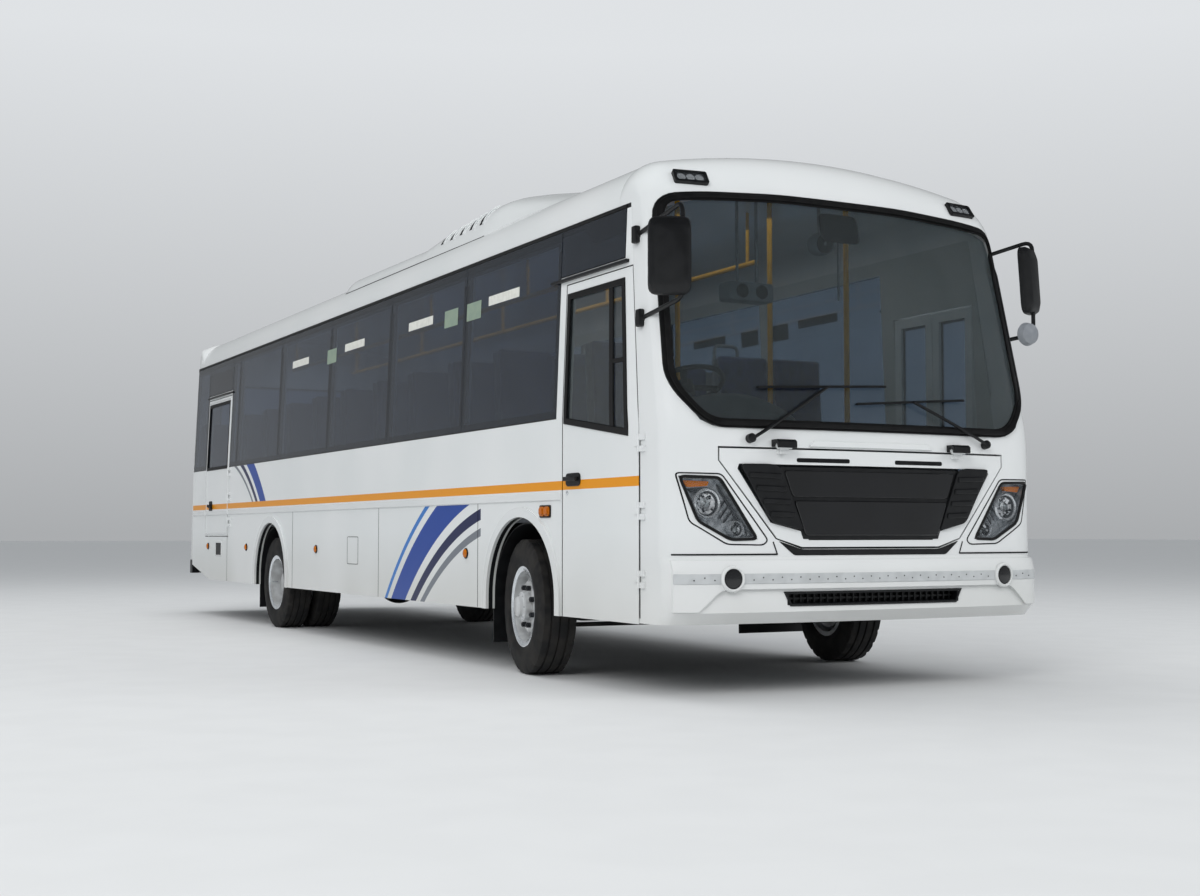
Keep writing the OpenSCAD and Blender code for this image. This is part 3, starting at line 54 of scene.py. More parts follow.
# Sizes of the bus in metres, as the part's source has them
AXLE = 3.350
HALF = 1.220
WAIST = 1.490
TUMBLE = math.tan(math.radians(2.3))
STRIPE_LOW, STRIPE_TOP = 1.080, 1.132
RIGHT, LEFT = -1, 1

# Ways along the bus, across it and down
TO_REAR, TO_FRONT = (-1, 0, 0), (1, 0, 0)
TO_LEFT, TO_RIGHT = (0, 1, 0), (0, -1, 0)
DOWN = (0, 0, -1)
INWARD = {RIGHT: TO_LEFT, LEFT: TO_RIGHT}

# Bends up to these angles are shaded as smooth: on the frame, on its arch flares, on the pieces added here
GENTLE, GENTLE_FLARES, GENTLE_PIECES = (math.radians(angle) for angle in (32, 12, 38))
# Edges sharper than this are eased
BEVEL_FROM = math.radians(50)

# Finishes

MM_PER_M = 1000
# Where one tone of a finish gives way to the other, in shares of the noise
PATCH_EDGE = (0.38, 0.62)


def linear(code):
    """An sRGB hex colour as the linear colour that shaders take."""
    parts = [int(code[i:i + 2], 16) / 255 for i in (1, 3, 5)]
    return [p / 12.92 if p <= 0.04045 else ((p + 0.055) / 1.055) ** 2.4 for p in parts] + [1.0]


def add(tree, kind, settings=(), links=()):
    """A node with its settings, by property or socket, and its links, by socket."""
    node = tree.nodes.new(kind)
    for key, value in dict(settings).items():
        if isinstance(key, str) and hasattr(node, key):
            setattr(node, key, value)
        else:
            node.inputs[key].default_value = value
    for key, source in dict(links).items():
        tree.links.new(source, node.inputs[key])
    return node


def ramp(tree, source, low, high, start=0.0, end=1.0):
    """A value taken from one range to another."""
    ranges = {"From Min": low, "From Max": high, "To Min": start, "To Max": end}
    return add(tree, "ShaderNodeMapRange", ranges, {"Value": source}).outputs[0]


def worked(tree, operation, links, constants=()):
    """A sum worked on linked values and constants."""
    return add(tree, "ShaderNodeMath", {"operation": operation, **dict(constants)}, links).outputs[0]


def over(tree, mask, tone, colour):
    """A colour with another tone laid over it where the mask says."""
    return add(tree, "ShaderNodeMix", {"data_type": "RGBA", 7: linear(tone)}, {0: mask, 6: colour}).outputs[2]


def finish(name, tone, shade, patch_mm, rough, grain_mm, depth_mm, layers=None, **sockets):
    """A material of two close tones in soft patches, with uneven gloss and a fine grain."""
    material = bpy.data.materials.new(name)
    material.use_nodes = True
    tree = material.node_tree
    shader = tree.nodes["Principled BSDF"]
    place = add(tree, "ShaderNodeTexCoord").outputs["Object"]
    patches = add(tree, "ShaderNodeTexNoise", {"Scale": MM_PER_M / patch_mm, "Detail": 1.5},
                  {"Vector": place}).outputs["Fac"]
    colour = add(tree, "ShaderNodeMix", {"data_type": "RGBA", 6: linear(tone), 7: linear(shade)},
                 {0: ramp(tree, patches, *PATCH_EDGE)}).outputs[2]
    if layers:
        colour = layers(tree, place, patches, colour)
    gloss = ramp(tree, patches, 0, 1, rough * 0.9, rough * 1.1)
    grain = add(tree, "ShaderNodeTexNoise", {"Scale": MM_PER_M / grain_mm, "Detail": 2.0}, {"Vector": place})
    bump = add(tree, "ShaderNodeBump", {"Distance": depth_mm / MM_PER_M, "Strength": 0.6},
               {"Height": grain.outputs["Fac"]})
    for key, source in (("Base Color", colour), ("Roughness", gloss), ("Normal", bump.outputs["Normal"])):
        tree.links.new(source, shader.inputs[key])
    for key, value in sockets.items():
        shader.inputs[key.replace("_", " ")].default_value = value
    return material


def low_patch_darkening(tree, place, patches, colour):
    """A grey-brown tone laid over in patches, stronger lower down, so the paint is darker towards the bottom.
    """
    height = add(tree, "ShaderNodeSeparateXYZ", {}, {0: place}).outputs["Z"]
    low = ramp(tree, height, 0.34, 0.85, 0.5, 0.0)
    return over(tree, worked(tree, "MULTIPLY", {0: low, 1: patches}), "#a7a092", colour)


# Curved bands of the side livery: centre x and z, radii, x and z limits, colour
LOWER, UPPER = (AXLE - 0.05, -1.60), (AXLE - 7.20, -0.40)
LOWER_X, UPPER_X = (-9.0, AXLE - 0.60), (AXLE - 7.20, AXLE - 4.00)
LOWER_Z, UPPER_Z = (0.30, 1.02), (STRIPE_TOP, WAIST)
BANDS = (
    (LOWER, (2.72, 2.92), LOWER_X, LOWER_Z, "#103f95"),
    (LOWER, (2.58, 2.65), LOWER_X, LOWER_Z, "#0b1648"),
    (LOWER, (2.48, 2.53), LOWER_X, LOWER_Z, "#747981"),
    (LOWER, (2.98, 3.02), LOWER_X, LOWER_Z, "#2f74bf"),
    (UPPER, (2.16, 2.30), UPPER_X, UPPER_Z, "#103f95"),
    (UPPER, (2.06, 2.11), UPPER_X, UPPER_Z, "#0b1648"),
    (UPPER, (1.98, 2.01), UPPER_X, UPPER_Z, "#747981"),
    ((0.0, 0.0), (0.0, 99.0), (-9.0, 9.0), (STRIPE_LOW, STRIPE_TOP), "#e3930c"),
)


def side_paint(tree, place, patches, colour):
    """White outside with stripe and bands, black at the glass rebates, pale trim inside."""
    part = add(tree, "ShaderNodeSeparateXYZ", {}, {0: place})
    flat = add(tree, "ShaderNodeCombineXYZ", {}, {"X": part.outputs["X"], "Z": part.outputs["Z"]}).outputs[0]
    colour = low_patch_darkening(tree, place, patches, colour)
    for (cx, cz), radii, xs, zs, tone in BANDS:
        reach = add(tree, "ShaderNodeVectorMath", {"operation": "DISTANCE", 1: (cx, 0, cz)},
                    {0: flat}).outputs["Value"]
        mask = None
        for source, (low, high) in ((reach, radii), (part.outputs["X"], xs), (part.outputs["Z"], zs)):
            inside = worked(tree, "COMPARE", {0: source}, {1: (low + high) / 2, 2: (high - low) / 2})
            mask = inside if mask is None else worked(tree, "MULTIPLY", {0: mask, 1: inside})
        colour = over(tree, mask, tone, colour)
    across = worked(tree, "ABSOLUTE", {0: part.outputs["Y"]})
    above = worked(tree, "SUBTRACT", {0: part.outputs["Z"]}, {1: WAIST, "use_clamp": True})
    lean = worked(tree, "MULTIPLY_ADD", {0: above, 2: across}, {1: TUMBLE})
    for depth, tone in ((0.003, "#17181a"), (0.030, "#c4c6c3")):
        colour = over(tree, worked(tree, "LESS_THAN", {0: lean}, {1: HALF - depth}), tone, colour)
    return colour


# Satin film of the bumper's strip: dull grey-white, faintly streaked
strip_film = finish("bumper_strip_film", "#c3c6c7", "#b9bcbd", 70, 0.5, 2.0, 0.05)
# Thin green film stuck on the panes: dull, faintly blotched
green_film = finish("green_pane_film", "#8fa08d", "#87998a", 60, 0.5, 2.0, 0.05)
# Two-pack enamel over steel panels: even white gloss, faint orange peel, darker grey-brown patches low down
enamel = finish("coach_enamel_white", "#e3e5e5", "#dee1e1", 900, 0.24, 12, 0.02, low_patch_darkening,
                Coat_Weight=0.5, Coat_Roughness=0.06)
# The same enamel with sprayed stripe and bands, and masked black at the glass rebates
side_enamel = finish("coach_enamel_livery", "#e3e5e5", "#dee1e1", 900, 0.3, 12, 0.02, side_paint,
                     Coat_Weight=0.1, Coat_Roughness=0.1, Specular_IOR_Level=0.25)
# Black gloss enamel of the grille's middle and the fog lamps' fronts: deep, wet-looking black
black_enamel = finish("black_enamel", "#08090b", "#0d0e11", 400, 0.18, 8, 0.04, Coat_Weight=0.4)
# Moulded black ABS: fine spark-eroded grain, dull sheen
black_plastic = finish("black_moulded_plastic", "#0e0f11", "#151618", 60, 0.46, 1.6, 0.12,
                       Specular_IOR_Level=0.4)
# Grey moulded polypropylene of the dash and its hood: dull, finely grained
trim_plastic = finish("grey_moulded_trim", "#6f7377", "#666a6e", 120, 0.6, 2.0, 0.15)
# Extruded EPDM rubber seals: soft black, slightly chalky
seal_rubber = finish("seal_rubber", "#0b0b0c", "#131314", 40, 0.55, 1.2, 0.1, Specular_IOR_Level=0.35)
# Sealant and painted shade in the joints between panels, and painted shade in slots, slits and holes: near
# black, matt
joint_seal_and_shade = finish("panel_joint_seal", "#17181a", "#101113", 30, 0.7, 1.0, 0.1, Specular_IOR_Level=0.3)
# Tyre rubber: carbon black with brown road bloom
tyre_rubber = finish("tyre_rubber", "#161617", "#2a2826", 90, 0.82, 2.2, 0.35)
# Aluminium wheel lacquer on pressed steel: bright fine metal flake, brake dust in patches
wheel_silver = finish("wheel_silver_lacquer", "#dcdedf", "#c3c4c4", 70, 0.3, 1.0, 0.04, Metallic=0.35)
# Chrome plate: bright, sharp glints
chrome = finish("chrome_plate", "#e6eaed", "#d6dade", 50, 0.14, 3, 0.02, Metallic=0.75)
# Vacuum-aluminised bowl of the headlamps: silvery, rippled
reflector = finish("lamp_reflector", "#c3c8cc", "#8b9095", 26, 0.22, 14, 1.2, Metallic=0.65)


def painted_facet_shade(tree, place, patches, colour):
    """Painted shade on flat pressed facets: dark cells stand in for facets turned away from the light."""
    cells = add(tree, "ShaderNodeTexVoronoi", {"Scale": MM_PER_M / 12}, {"Vector": place})
    return over(tree, ramp(tree, cells.outputs["Color"], 0.35, 0.6), "#23262b", colour)


# Faceted reflector behind each lamp's dome: bright and dark cells of pressed, silvered plastic, the
# near-white tone a painted reflection of bright light and the dark cells painted shade
reflector_with_painted_light = finish("reflector_with_painted_light", "#f4f6f8", "#e2e6ea", 30, 0.16, 8, 0.4, painted_facet_shade,
                           Metallic=0.55)
# Silvered mirror glass: a clear, slightly cool mirror
mirror_glass = finish("mirror_glass", "#c6cdd2", "#bfc7cc", 200, 0.04, 5, 0.01, Metallic=1.0)
# Dark lacquered metal of lamp fins and wheel nuts: grey-black with a low sheen
lamp_dark = finish("lamp_housing_dark", "#2b2d31", "#1e2023", 20, 0.35, 2, 0.1, Metallic=0.3)
# Chassis paint: satin black over rolled steel, dusty
chassis_paint = finish("chassis_paint", "#232427", "#3a3835", 150, 0.6, 3, 0.3)
# Cast iron under grey paint: sand-cast grain
cast_iron = finish("painted_cast_iron", "#5a5f64", "#494d51", 60, 0.6, 2.5, 0.4)
# Galvanised steel: spangled dull zinc
galvanised = finish("galvanised_steel", "#9a9da0", "#83868a", 12, 0.45, 4, 0.1, Metallic=0.8)
# Sheet vinyl floor with a stippled wear layer
floor_vinyl = finish("floor_vinyl", "#4a4d52", "#5a5d61", 5, 0.7, 2.5, 0.2)
# Powder-coated tube: warm yellow, satin
rail_yellow = finish("rail_powder_coat", "#e0a312", "#d79a10", 80, 0.35, 3, 0.08)
# Grey nylon of seat shells, hoops and cab fittings: soft satin grey
hoop_grey = finish("seat_hoop_nylon", "#8b8f94", "#80848a", 60, 0.5, 1.5, 0.1)
# Reflective sheeting of the blank plate and notices: warm white, fine-grained
plate_white = finish("plate_sheeting", "#e6e6df", "#dcdcd4", 30, 0.35, 2, 0.05)


def glass(name, tone, shade, rough, through, **sockets):
    """Clear or tinted glazing, faintly wavy."""
    return finish(name, tone, shade, 300, rough, 400, 0.4, Transmission_Weight=through, IOR=1.45, **sockets)


# Laminated screen glass, light blue-grey tint
screen_glass = glass("windscreen_laminate", "#c4d0d4", "#bdcace", 0.03, 0.97, Specular_IOR_Level=0.4)
# Toughened side glass with a blue-grey tint
tint_glass = glass("tinted_side_glass", "#8090a6", "#7989a0", 0.03, 0.95, Specular_IOR_Level=0.22)
# Clear polycarbonate lamp cover: a thin film, so the lamp behind it is lit
clear_lens = finish("clear_lamp_lens", "#6a7075", "#757b80", 120, 0.05, 6, 0.05, Alpha=0.09,
                    Coat_Weight=0.5)
# Pressed glass of the projector domes: clear, with bright edges
dome_glass = glass("projector_dome_glass", "#eef2f3", "#e6ebed", 0.03, 0.95)
# Amber and red acrylic lamp lenses: half-clear, deep in colour
amber_lens = glass("amber_lamp_lens", "#e8820e", "#de7a0c", 0.12, 0.35)
red_lens = glass("red_lamp_lens", "#b01216", "#a30f14", 0.12, 0.35)


def fleck(tree, place, patches, colour):
    """Lighter flecks about 9 mm apart."""
    cells = add(tree, "ShaderNodeTexVoronoi", {"Scale": 110.0}, {"Vector": place})
    spot = worked(tree, "LESS_THAN", {0: cells.outputs["Distance"]}, {1: 0.22})
    return over(tree, spot, "#4a5a92", colour)


# Seat moquette: navy woven pile with a lighter fleck
seat_cloth = finish("seat_moquette", "#232c5c", "#1b2349", 40, 0.9, 3.0, 0.6, fleck, Sheen_Weight=0.35)

FINISHES = (
    (enamel, "roof front_fascia rear_wall front_bumper roof_pod arch_flares front_flap entry_leaf_front"
             " entry_leaf_rear door_hinges"),
    (side_enamel, "side_wall_right side_wall_left driver_door emergency_door"),
    (screen_glass, "windscreen driver_door_glass"),
    (tint_glass, "rear_window side_glass emergency_door_glass entry_glass_front entry_glass_rear"),
    (seal_rubber, "windscreen_seal"),
    (clear_lens, "headlamps"),
    (red_lens, "rear_lamps"),
    (amber_lens, "side_lamps"),
    (black_plastic, "mirrors wipers grille steering_wheel rear_bumper mudguards"),
    (trim_plastic, "dashboard"),
    (floor_vinyl, "floor"),
    (seat_cloth, "seat_bases seat_backs"),
    (rail_yellow, "grab_rails"),
    (cast_iron, "engine driveline knuckle_right knuckle_left"),
    (galvanised, "exhaust"),
    (wheel_silver, "wheel_front_right wheel_front_left wheel_rear_right wheel_rear_left"),
    (tyre_rubber, "tyre_front_right tyre_front_left tyres_rear_right tyres_rear_left"),
    (chassis_paint, "chassis_frame cross_members floor_bearers front_axle rear_axle leaf_springs radiator"
                    " tanks tie_rod"),
)


def soft_edges():
    """A node tree that joins loose triangles and shades gentle bends as smooth."""
    tree = bpy.data.node_groups.new("smooth_bends", "GeometryNodeTree")
    tree.interface.new_socket("Mesh", in_out="INPUT", socket_type="NodeSocketGeometry")
    bend = tree.interface.new_socket("Bend", in_out="INPUT", socket_type="NodeSocketFloat")
    bend.default_value = GENTLE
    tree.interface.new_socket("Mesh", in_out="OUTPUT", socket_type="NodeSocketGeometry")
    given = add(tree, "NodeGroupInput")
    bare = add(tree, "GeometryNodeRemoveAttribute", {"Name": "custom_normal"},
               {"Geometry": given.outputs["Mesh"]})
    joined = add(tree, "GeometryNodeMergeByDistance", {"Distance": 0.00002}, {"Geometry": bare.outputs[0]})
    angle = add(tree, "GeometryNodeInputMeshEdgeAngle")
    gentle = add(tree, "FunctionNodeCompare", {"operation": "LESS_THAN"},
                 {"A": angle.outputs["Unsigned Angle"], "B": given.outputs["Bend"]})
    faces = add(tree, "GeometryNodeSetShadeSmooth", {"domain": "FACE"}, {"Geometry": joined.outputs[0]})
    edges = add(tree, "GeometryNodeSetShadeSmooth", {"domain": "EDGE"},
                {"Geometry": faces.outputs[0], "Shade Smooth": gentle.outputs[0]})
    done = add(tree, "NodeGroupOutput")
    tree.links.new(edges.outputs[0], done.inputs[0])
    return tree, bend.identifier


smooth_bends, bend_input = soft_edges()
for material, names in FINISHES:
    for name in names.split():
        if name in nodes:
            for held in nodes[name].material_slots:
                held.material = material
            shading = nodes[name].modifiers.new("smooth_bends", "NODES")
            shading.node_group = smooth_bends
            if name == "arch_flares":
                shading[bend_input] = GENTLE_FLARES


# Forms

def forms(count):
    """Empty forms to build in."""
    return [bmesh.new() for _ in range(count)]


def block(form, low, high):
    """A box between two corners."""
    size = [b - a for a, b in zip(low, high)]
    middle = [(a + b) / 2 for a, b in zip(low, high)]
    bmesh.ops.create_cube(form, size=1, matrix=Matrix.Translation(middle) @ Matrix.Diagonal((*size, 1)))


def bridge(form, rings, round_trip=False):
    """Faces between closed rings of points, with caps at the ends unless the rings go round."""
    rows = [[form.verts.new(p) for p in ring] for ring in rings]
    count = len(rows[0])
    pairs = list(zip(rows, rows[1:])) + ([(rows[-1], rows[0])] if round_trip else [])
    for a, b in pairs:
        for i in range(count):
            j = (i + 1) % count
            form.faces.new((a[i], a[j], b[j], b[i]))
    if not round_trip:
        form.faces.new(rows[0][::-1])
        form.faces.new(rows[-1])


def circle(middle, across, up, radius, count, shift=0.0):
    """Points round a middle, in the plane of two ways, with a shift in shares of a step."""
    turns = (2 * math.pi * (k + shift) / count for k in range(count))
    return [middle + (across * math.cos(a) + up * math.sin(a)) * radius for a in turns]


def pipe(form, path, radius, sides=12):
    """A round bar along points."""
    path = [Vector(p) for p in path]
    rings = []
    ahead = (path[1] - path[0]).normalized()
    side = ahead.orthogonal().normalized()
    for i, point in enumerate(path):
        step = path[min(i + 1, len(path) - 1)] - path[max(i - 1, 0)]
        ahead = step.normalized()
        side = (side - ahead * side.dot(ahead)).normalized()
        rings.append(circle(point, side, ahead.cross(side), radius, sides))
    bridge(form, rings)


def cut_corner(before, here, after, radius, steps):
    """Points of a curve across a corner, from a radius before it to a radius after, less on short sides."""
    a, b = (here + (end - here).normalized() * min(radius, (end - here).length * 0.45)
            for end in (before, after))
    shares = (k / steps for k in range(steps + 1))
    return [a * (1 - t) ** 2 + here * 2 * t * (1 - t) + b * t ** 2 for t in shares]


def bent(points, radius, steps=5):
    """A path whose corners are eased by a radius."""
    points = [Vector(p) for p in points]
    path = [points[0]]
    for before, here, after in zip(points, points[1:], points[2:]):
        path += cut_corner(before, here, after, radius, steps)
    return path + [points[-1]]


def turned(form, profile, centre, axis, steps=32, ring=False):
    """A turned solid: profile of (radius, height) from pole to pole, or round a closed ring section."""
    axis = Vector(axis).normalized()
    side = axis.orthogonal().normalized()
    up = axis.cross(side)
    rows = []
    for radius, height in profile:
        middle = Vector(centre) + axis * height
        spots = circle(middle, side, up, radius, steps) if radius > 1e-6 else [middle]
        rows.append([form.verts.new(p) for p in spots])
    for a, b in zip(rows, rows[1:] + (rows[:1] if ring else [])):
        for i in range(steps):
            j = (i + 1) % steps
            corners = [a[i % len(a)], a[j % len(a)], b[j % len(b)], b[i % len(b)]]
            form.faces.new(list(dict.fromkeys(corners)))


def rounded(points, radius, steps=4):
    """A closed flat outline with its corners rounded."""
    points = [Vector(p) for p in points]
    path = []
    for before, here, after in zip(points[-1:] + points[:-1], points, points[1:] + points[:1]):
        path += cut_corner(before, here, after, radius, steps)
    return [tuple(p) for p in path]


def oblong(u0, v0, u1, v1):
    """The outline of a rectangle between two corners."""
    return [(u0, v0), (u1, v0), (u1, v1), (u0, v1)]


def from_axle(points):
    """Points of (x, z) that are given from the front axle."""
    return [(AXLE + x, z) for x, z in points]


def level(x0, x1, v):
    """A line along the bus between two places from the front axle, at a height or off the middle."""
    return from_axle([(x0, v), (x1, v)])


def on_side(side, points):
    """Points of (y, z), given from the middle outwards, on a side."""
    return [(side * y, z) for y, z in points]


def scaled(radius, profile):
    """A profile to turn, given in shares of a radius."""
    return [(radius * share, height) for share, height in profile]


def inset(points, distance):
    """A closed flat outline drawn in by a distance."""
    points = [Vector(p) for p in points]
    area = sum(a.x * b.y - b.x * a.y for a, b in zip(points, points[1:] + points[:1]))
    sign = 1 if area > 0 else -1
    result = []
    for i, here in enumerate(points):
        a = (here - points[i - 1]).normalized()
        b = (points[(i + 1) % len(points)] - here).normalized()
        na, nb = Vector((-a.y, a.x)) * sign, Vector((-b.y, b.x)) * sign
        result.append(tuple(here + (na + nb) * distance / max(0.3, 1 + na.dot(nb))))
    return result


# How far outside the nodes a look along starts, and how far it reaches
RAY_START, RAY_REACH = 0.5, 0.9
skins = {}


def laid_on(names, way):
    """place(u, v, lift) on what is met first at the named nodes, looking along way."""
    if names not in skins:
        points, faces = [], []
        for name in names.split():
            mesh = nodes[name].data
            first = len(points)
            points += [v.co.copy() for v in mesh.vertices]
            faces += [[first + i for i in p.vertices] for p in mesh.polygons]
        skins[names] = BVHTree.FromPolygons(points, faces)
    tree = skins[names]
    way = Vector(way)
    axis = max(range(3), key=lambda i: abs(way[i]))
    u_axis, v_axis = [i for i in range(3) if i != axis]
    low = min(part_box(name)[0][axis] for name in names.split())
    high = max(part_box(name)[1][axis] for name in names.split())

    def place(u, v, lift):
        start = Vector((0, 0, 0))
        start[u_axis], start[v_axis] = u, v
        start[axis] = (high + RAY_START) if way[axis] < 0 else (low - RAY_START)
        hit = tree.ray_cast(start, way, RAY_REACH)[0]
        if hit is None:
            start[axis] = high if way[axis] < 0 else low
            hit = start.copy()
            hit[axis] = tree.find_nearest(start)[0][axis]
        return hit - way * lift
    return place


def facing_at(place, u, v, reach=0.03):
    """The way a surface faces at a point, from two short steps along it."""
    here = place(u, v, 0)
    return (place(u + reach, v, 0) - here).cross(place(u, v + reach, 0) - here).normalized()


def flat_at(centre, facing):
    """place(u, v, lift) on a plane through a point, with u across it and v up."""
    facing = Vector(facing).normalized()
    across = Vector((0, 0, 1)).cross(facing).normalized()
    up = facing.cross(across)

    def place(u, v, lift):
        return Vector(centre) + across * u + up * v + facing * lift
    return place


def sheet(form, outline, place, low, high, step=0.06):
    """A closed skin: a flat outline cut into cells and laid on a surface between two lifts."""
    flat = bmesh.new()
    flat.faces.new([flat.verts.new((p[0], p[1], 0)) for p in outline])
    for axis in (0, 1):
        values = [p[axis] for p in outline]
        for k in range(math.ceil(min(values) / step), math.floor(max(values) / step) + 1):
            at, normal = [0, 0, 0], [0, 0, 0]
            at[axis], normal[axis] = k * step, 1
            bmesh.ops.bisect_plane(flat, geom=flat.verts[:] + flat.edges[:] + flat.faces[:],
                                   plane_co=at, plane_no=normal, dist=1e-5)
    flat.verts.index_update()
    rows = [[form.verts.new(place(v.co.x, v.co.y, lift)) for v in flat.verts] for lift in (low, high)]
    for face in flat.faces:
        form.faces.new([rows[1][v.index] for v in face.verts])
        form.faces.new([rows[0][v.index] for v in reversed(face.verts)])
    for edge in flat.edges:
        if len(edge.link_faces) == 1:
            a, b = (v.index for v in edge.verts)
            form.faces.new((rows[0][a], rows[0][b], rows[1][b], rows[1][a]))
    flat.free()


def along(points, step):
    """Points of a flat path at most a step apart."""
    points = [Vector(p) for p in points]
    result = []
    for a, b in zip(points, points[1:]):
        count = max(1, math.ceil((b - a).length / step))
        result += [a.lerp(b, k / count) for k in range(count)]
    return result + [points[-1]]


def hoop(form, outer, inner, place, low, high, step=0.08):
    """A closed band between two outlines of as many points, laid on a surface."""
    pairs = []
    for i, (a, c) in enumerate(zip(outer, inner)):
        b, d = outer[(i + 1) % len(outer)], inner[(i + 1) % len(inner)]
        a, b, c, d = (Vector(p) for p in (a, b, c, d))
        count = max(1, math.ceil((b - a).length / step))
        pairs += [(a.lerp(b, k / count), c.lerp(d, k / count)) for k in range(count)]
    rings = [[place(*p, low), place(*p, high), place(*q, high), place(*q, low)] for p, q in pairs]
    bridge(form, rings, round_trip=True)


def strip(form, path, width, place, low, high, step=0.08):
    """A flat band of a width along a path on a surface."""
    path = along(path, step)
    rings = []
    for i, here in enumerate(path):
        way = (path[min(i + 1, len(path) - 1)] - path[max(i - 1, 0)]).normalized()
        off = Vector((-way.y, way.x)) * width / 2
        rings.append([place(*(here + off), low), place(*(here + off), high),
                      place(*(here - off), high), place(*(here - off), low)])
    bridge(form, rings)


def meshed(name, form):
    """A mesh from a form, which ends with it."""
    mesh = bpy.data.meshes.new(name)
    form.to_mesh(mesh)
    form.free()
    return mesh


def placed(name, data):
    """An object in the scene for a mesh, a light or a camera."""
    holder = bpy.data.objects.new(name, data)
    scene.collection.objects.link(holder)
    return holder


def settled(holder):
    """An object's mesh with its modifiers worked in."""
    return bpy.data.meshes.new_from_object(holder.evaluated_get(bpy.context.evaluated_depsgraph_get()))


def make(name, form, material, body="body", bevel=0.0, stands_for=""):
    """A finished piece from a form: outward faces, eased edges, its finish and its body."""
    bmesh.ops.recalc_face_normals(form, faces=form.faces[:])
    return keep(name, meshed(name, form), material, body, bevel, stands_for)


def keep(name, mesh, material, body="body", bevel=0.0, stands_for=""):
    """An object for a mesh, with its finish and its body."""
    mesh.materials.clear()
    mesh.materials.append(material)
    mesh.shade_smooth()
    mesh.set_sharp_from_angle(angle=GENTLE_PIECES)
    piece = placed(name, mesh)
    if bevel:
        edges = piece.modifiers.new("eased_edges", "BEVEL")
        edges.width = bevel
        edges.segments = 2
        edges.limit_method = "ANGLE"
        edges.angle_limit = BEVEL_FROM
    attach(piece, body)
    if stands_for:
        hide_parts(*stands_for.split())
    return piece


def both(points):
    """A right-hand outline of (y, z) and its mirror on the left."""
    return points, [(-y, z) for y, z in reversed(points)]


# Sides of a fastener's stud, and its length in shares of the head's height
STUD_SIDES, STUD_RISE = 8, 1.4


def fastener_tree():
    """Nodes that set a headed fastener with a stud at every point, turned to its facing."""
    tree = bpy.data.node_groups.new("fasteners", "GeometryNodeTree")
    tree.interface.new_socket("Points", in_out="INPUT", socket_type="NodeSocketGeometry")
    sizes = {}
    for label, kind in (("Sides", "Int"), ("Radius", "Float"), ("Height", "Float"), ("Stud share", "Float"),
                        ("Finish", "Material")):
        socket = tree.interface.new_socket(label, in_out="INPUT", socket_type="NodeSocket" + kind)
        sizes[label] = socket.identifier
    tree.interface.new_socket("Mesh", in_out="OUTPUT", socket_type="NodeSocketGeometry")
    given = add(tree, "NodeGroupInput").outputs
    head = add(tree, "GeometryNodeMeshCylinder", {},
               {"Vertices": given["Sides"], "Radius": given["Radius"], "Depth": given["Height"]})
    stud_r = worked(tree, "MULTIPLY", {0: given["Radius"], 1: given["Stud share"]})
    stud_h = worked(tree, "MULTIPLY", {0: given["Height"]}, {1: STUD_RISE})
    stud = add(tree, "GeometryNodeMeshCylinder", {"Vertices": STUD_SIDES},
               {"Radius": stud_r, "Depth": stud_h})
    whole = add(tree, "GeometryNodeJoinGeometry")
    for part in (head, stud):
        tree.links.new(part.outputs["Mesh"], whole.inputs[0])
    facing = add(tree, "GeometryNodeInputNamedAttribute", {"data_type": "FLOAT_VECTOR", "Name": "facing"})
    turn = add(tree, "FunctionNodeAlignRotationToVector", {"axis": "Z"},
               {"Vector": facing.outputs["Attribute"]})
    copies = add(tree, "GeometryNodeInstanceOnPoints", {},
                 {"Points": given["Points"], "Instance": whole.outputs[0], "Rotation": turn.outputs[0]})
    real = add(tree, "GeometryNodeRealizeInstances", {}, {0: copies.outputs[0]})
    done = add(tree, "GeometryNodeSetMaterial", {},
               {"Geometry": real.outputs[0], "Material": given["Finish"]})
    tree.links.new(done.outputs[0], add(tree, "NodeGroupOutput").inputs[0])
    return tree, sizes


fastener_nodes, fastener_sizes = fastener_tree()


def fasteners(name, spots, material, body="body", sides=6, radius=0.006, height=0.004, stud=0.5):
    """Nuts, screws or rivets at spots of place and facing."""
    points = bpy.data.meshes.new(name + "_points")
    points.from_pydata([place for place, _ in spots], [], [])
    facing = points.attributes.new("facing", "FLOAT_VECTOR", "POINT")
    for item, (_, way) in zip(facing.data, spots):
        item.vector = way
    holder = placed(name + "_points", points)
    work = holder.modifiers.new("fasteners", "NODES")
    work.node_group = fastener_nodes
    for label, value in (("Sides", sides), ("Radius", radius), ("Height", height), ("Stud share", stud),
                         ("Finish", material)):
        work[fastener_sizes[label]] = value
    mesh = settled(holder)
    bpy.data.objects.remove(holder)
    return keep(name, mesh, material, body)


# Front: flap, grille, lamps, bumper, screen

FRONT_FACE = laid_on("front_fascia front_flap headlamps front_bumper windscreen windscreen_seal", TO_REAR)
BUMPER = laid_on("front_bumper", TO_REAR)
SCREEN = laid_on("windscreen windscreen_seal front_fascia", TO_REAR)
FLAP = laid_on("front_flap grille", TO_REAR)

